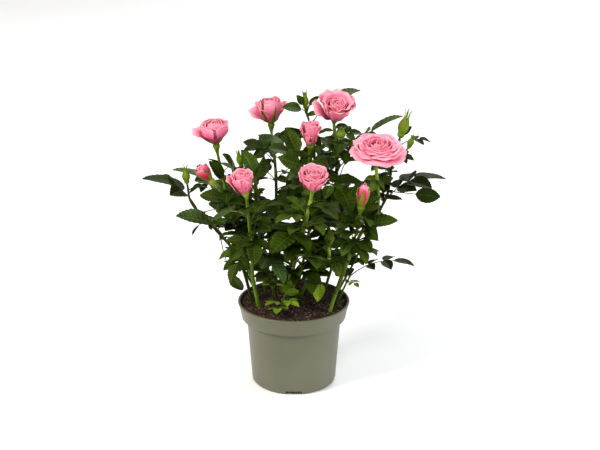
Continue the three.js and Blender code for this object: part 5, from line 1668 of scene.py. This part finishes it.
def crumb(builder, centre, size, draw, kind):
    """A small many-sided lump of peat or bark."""
    shape = vec(*(least + more * next(draw) for least, more in CRUMB_SHAPE)) * size
    turn = next(draw) * 2 * math.pi
    corners = []
    for z, reach, shift in CRUMB_RINGS:
        for j in range(CRUMB_SIDES):
            angle = 2 * math.pi * (j + shift) / CRUMB_SIDES
            jitter = CRUMB_JITTER[0] + CRUMB_JITTER[1] * next(draw)
            x, y = math.cos(angle) * reach * jitter, math.sin(angle) * reach * jitter
            corners.append((x * shape[0], y * shape[1], z * shape[2]))
    sides, top = list(range(CRUMB_SIDES)), (len(CRUMB_RINGS) - 1) * CRUMB_SIDES
    faces = grid_faces(len(CRUMB_RINGS), CRUMB_SIDES, closed=True)
    builder.add(np.array(turned(corners, turn)) + centre, faces, kind)
    builder.more([sides[::-1], [top + j for j in sides]], kind)


def build_peat():
    """The soil's lumpy top, and its sides and floor inside the pot."""
    rings, segments = PEAT["rings"], PEAT["segments"]
    flat = lathe_rings([(SOIL_EDGE * i / rings, 0) for i in range(1, rings + 1)], segments)
    points = [(x, y, soil_height(x, y)) for x, y, _ in flat]
    centre = len(points)
    points.append((0, 0, soil_height(0, 0)))
    peat = Builder()
    peat.add(points, grid_faces(rings, segments, flip=True, closed=True))
    peat.more(fan_faces(centre, 0, segments, flip=True))
    _, inner = pot_outlines()
    floor = NOTCH["height"] + POT["wall"] + 2 * GAP
    wall = [(radius - GAP, max(height + GAP, floor)) for radius, height in inner[2:-1]]
    top = SOIL_TOP - SOIL_FALL - PEAT["wallTop"]
    profile = [(SOIL_EDGE, top), *wall[::-1], (PEAT["floorRadius"], floor)]
    walls = grid_faces(len(profile), segments, flip=True, closed=True)
    peat.add(lathe_rings(profile, segments), walls)
    peat.make("soil_peat", [SOIL_SKIN], "soil", SHARP["peat"], ["soil"])


def build_crumbs():
    crumbs = Builder()
    draw = stream(SEEDS["crumbs"])
    for _ in range(CRUMBS["count"]):
        radius = (SOIL_EDGE - CRUMBS["fromEdge"]) * math.sqrt(next(draw))
        angle = 2 * math.pi * next(draw)
        x, y = radius * math.cos(angle), radius * math.sin(angle)
        pick = next(draw)
        size = CRUMBS["sizeLow"] + CRUMBS["sizeRange"] * next(draw) ** 2
        kind = int(pick >= CRUMBS["brownFrom"]) + int(pick >= CRUMBS["paleFrom"])
        if kind == 2:
            size *= CRUMBS["paleSize"]
        crumb(crumbs, vec(x, y, soil_height(x, y) + size * CRUMBS["raised"]), size, draw, kind)
    crumbs.make("soil_crumbs", CRUMB_SKINS, "soil", SHARP["crumbs"])


grow_bush()
build_leaves()
stem_builder, limb_nodes = build_stems()
build_blooms(stem_builder)
stem_builder.make("stems_and_buds", STEM_TONES, "stems", SHARP["stems"], limb_nodes)
build_pot()
build_peat()
build_crumbs()


# Studio

CAMERA = {
    "place": (0.00588, -1.7, 0.80627), "pitch": 0.365352, "lens": 117.6252, "sensor": 36,
    "nearest": 0.05, "farthest": 50,
}
FLOOR = {"size": 24, "top": -0.0002}
BACKGROUND = {"Color": (1, 1, 1, 1), "Strength": 0.4}
# Each light's place, target, size, power and colour
LIGHTS = {
    "key": ((-1.3, -0.8, 1.4), (0, 0, 0.16), 0.7, 38, (1.0, 0.95, 0.86)),
    "fill": ((1.5, -0.6, 0.9), (0, 0, 0.15), 0.7, 17, (0.92, 0.98, 1.0)),
    "front": ((0.1, -1.6, 1.9), (0, 0, 0.18), 0.6, 13, (1, 1, 1)),
    "back": ((0.4, 1.2, 1.3), (0, 0, 0.18), 0.9, 14, (1, 1, 1)),
}


def build_camera():
    data = bpy.data.cameras.new("camera")
    camera = link_object("camera", data)
    camera.location = CAMERA["place"]
    camera.rotation_euler = (math.pi / 2 - CAMERA["pitch"], 0, 0)
    data.lens = CAMERA["lens"]
    data.sensor_width = CAMERA["sensor"]
    data.sensor_fit = "HORIZONTAL"
    data.clip_start = CAMERA["nearest"]
    data.clip_end = CAMERA["farthest"]
    bpy.context.scene.camera = camera


def build_lights():
    for name, (place, target, size, power, colour) in LIGHTS.items():
        data = bpy.data.lights.new(name, "AREA")
        data.shape = "DISK"
        data.size = size
        data.energy = power
        data.color = colour
        light = link_object(name, data)
        light.location = place
        way = Vector(target) - Vector(place)
        light.rotation_euler = way.to_track_quat("-Z", "Y").to_euler()


def build_studio():
    paper = mottled("floor_paper", (0.92, 0.92, 0.92, 1), (0.94, 0.94, 0.94, 1), 3, 0.9, specular=0.1)
    bpy.ops.mesh.primitive_plane_add(size=FLOOR["size"], location=(0, 0, FLOOR["top"]))
    floor = bpy.context.object
    floor.name = "floor"
    floor.data.materials.append(paper)
    world = bpy.data.worlds.new("studio")
    world.use_nodes = True
    set_inputs(world.node_tree.nodes["Background"], BACKGROUND)
    scene = bpy.context.scene
    scene.world = world
    scene.view_settings.view_transform = "Standard"
    scene.view_settings.look = "None"


build_camera()
build_lights()
build_studio()
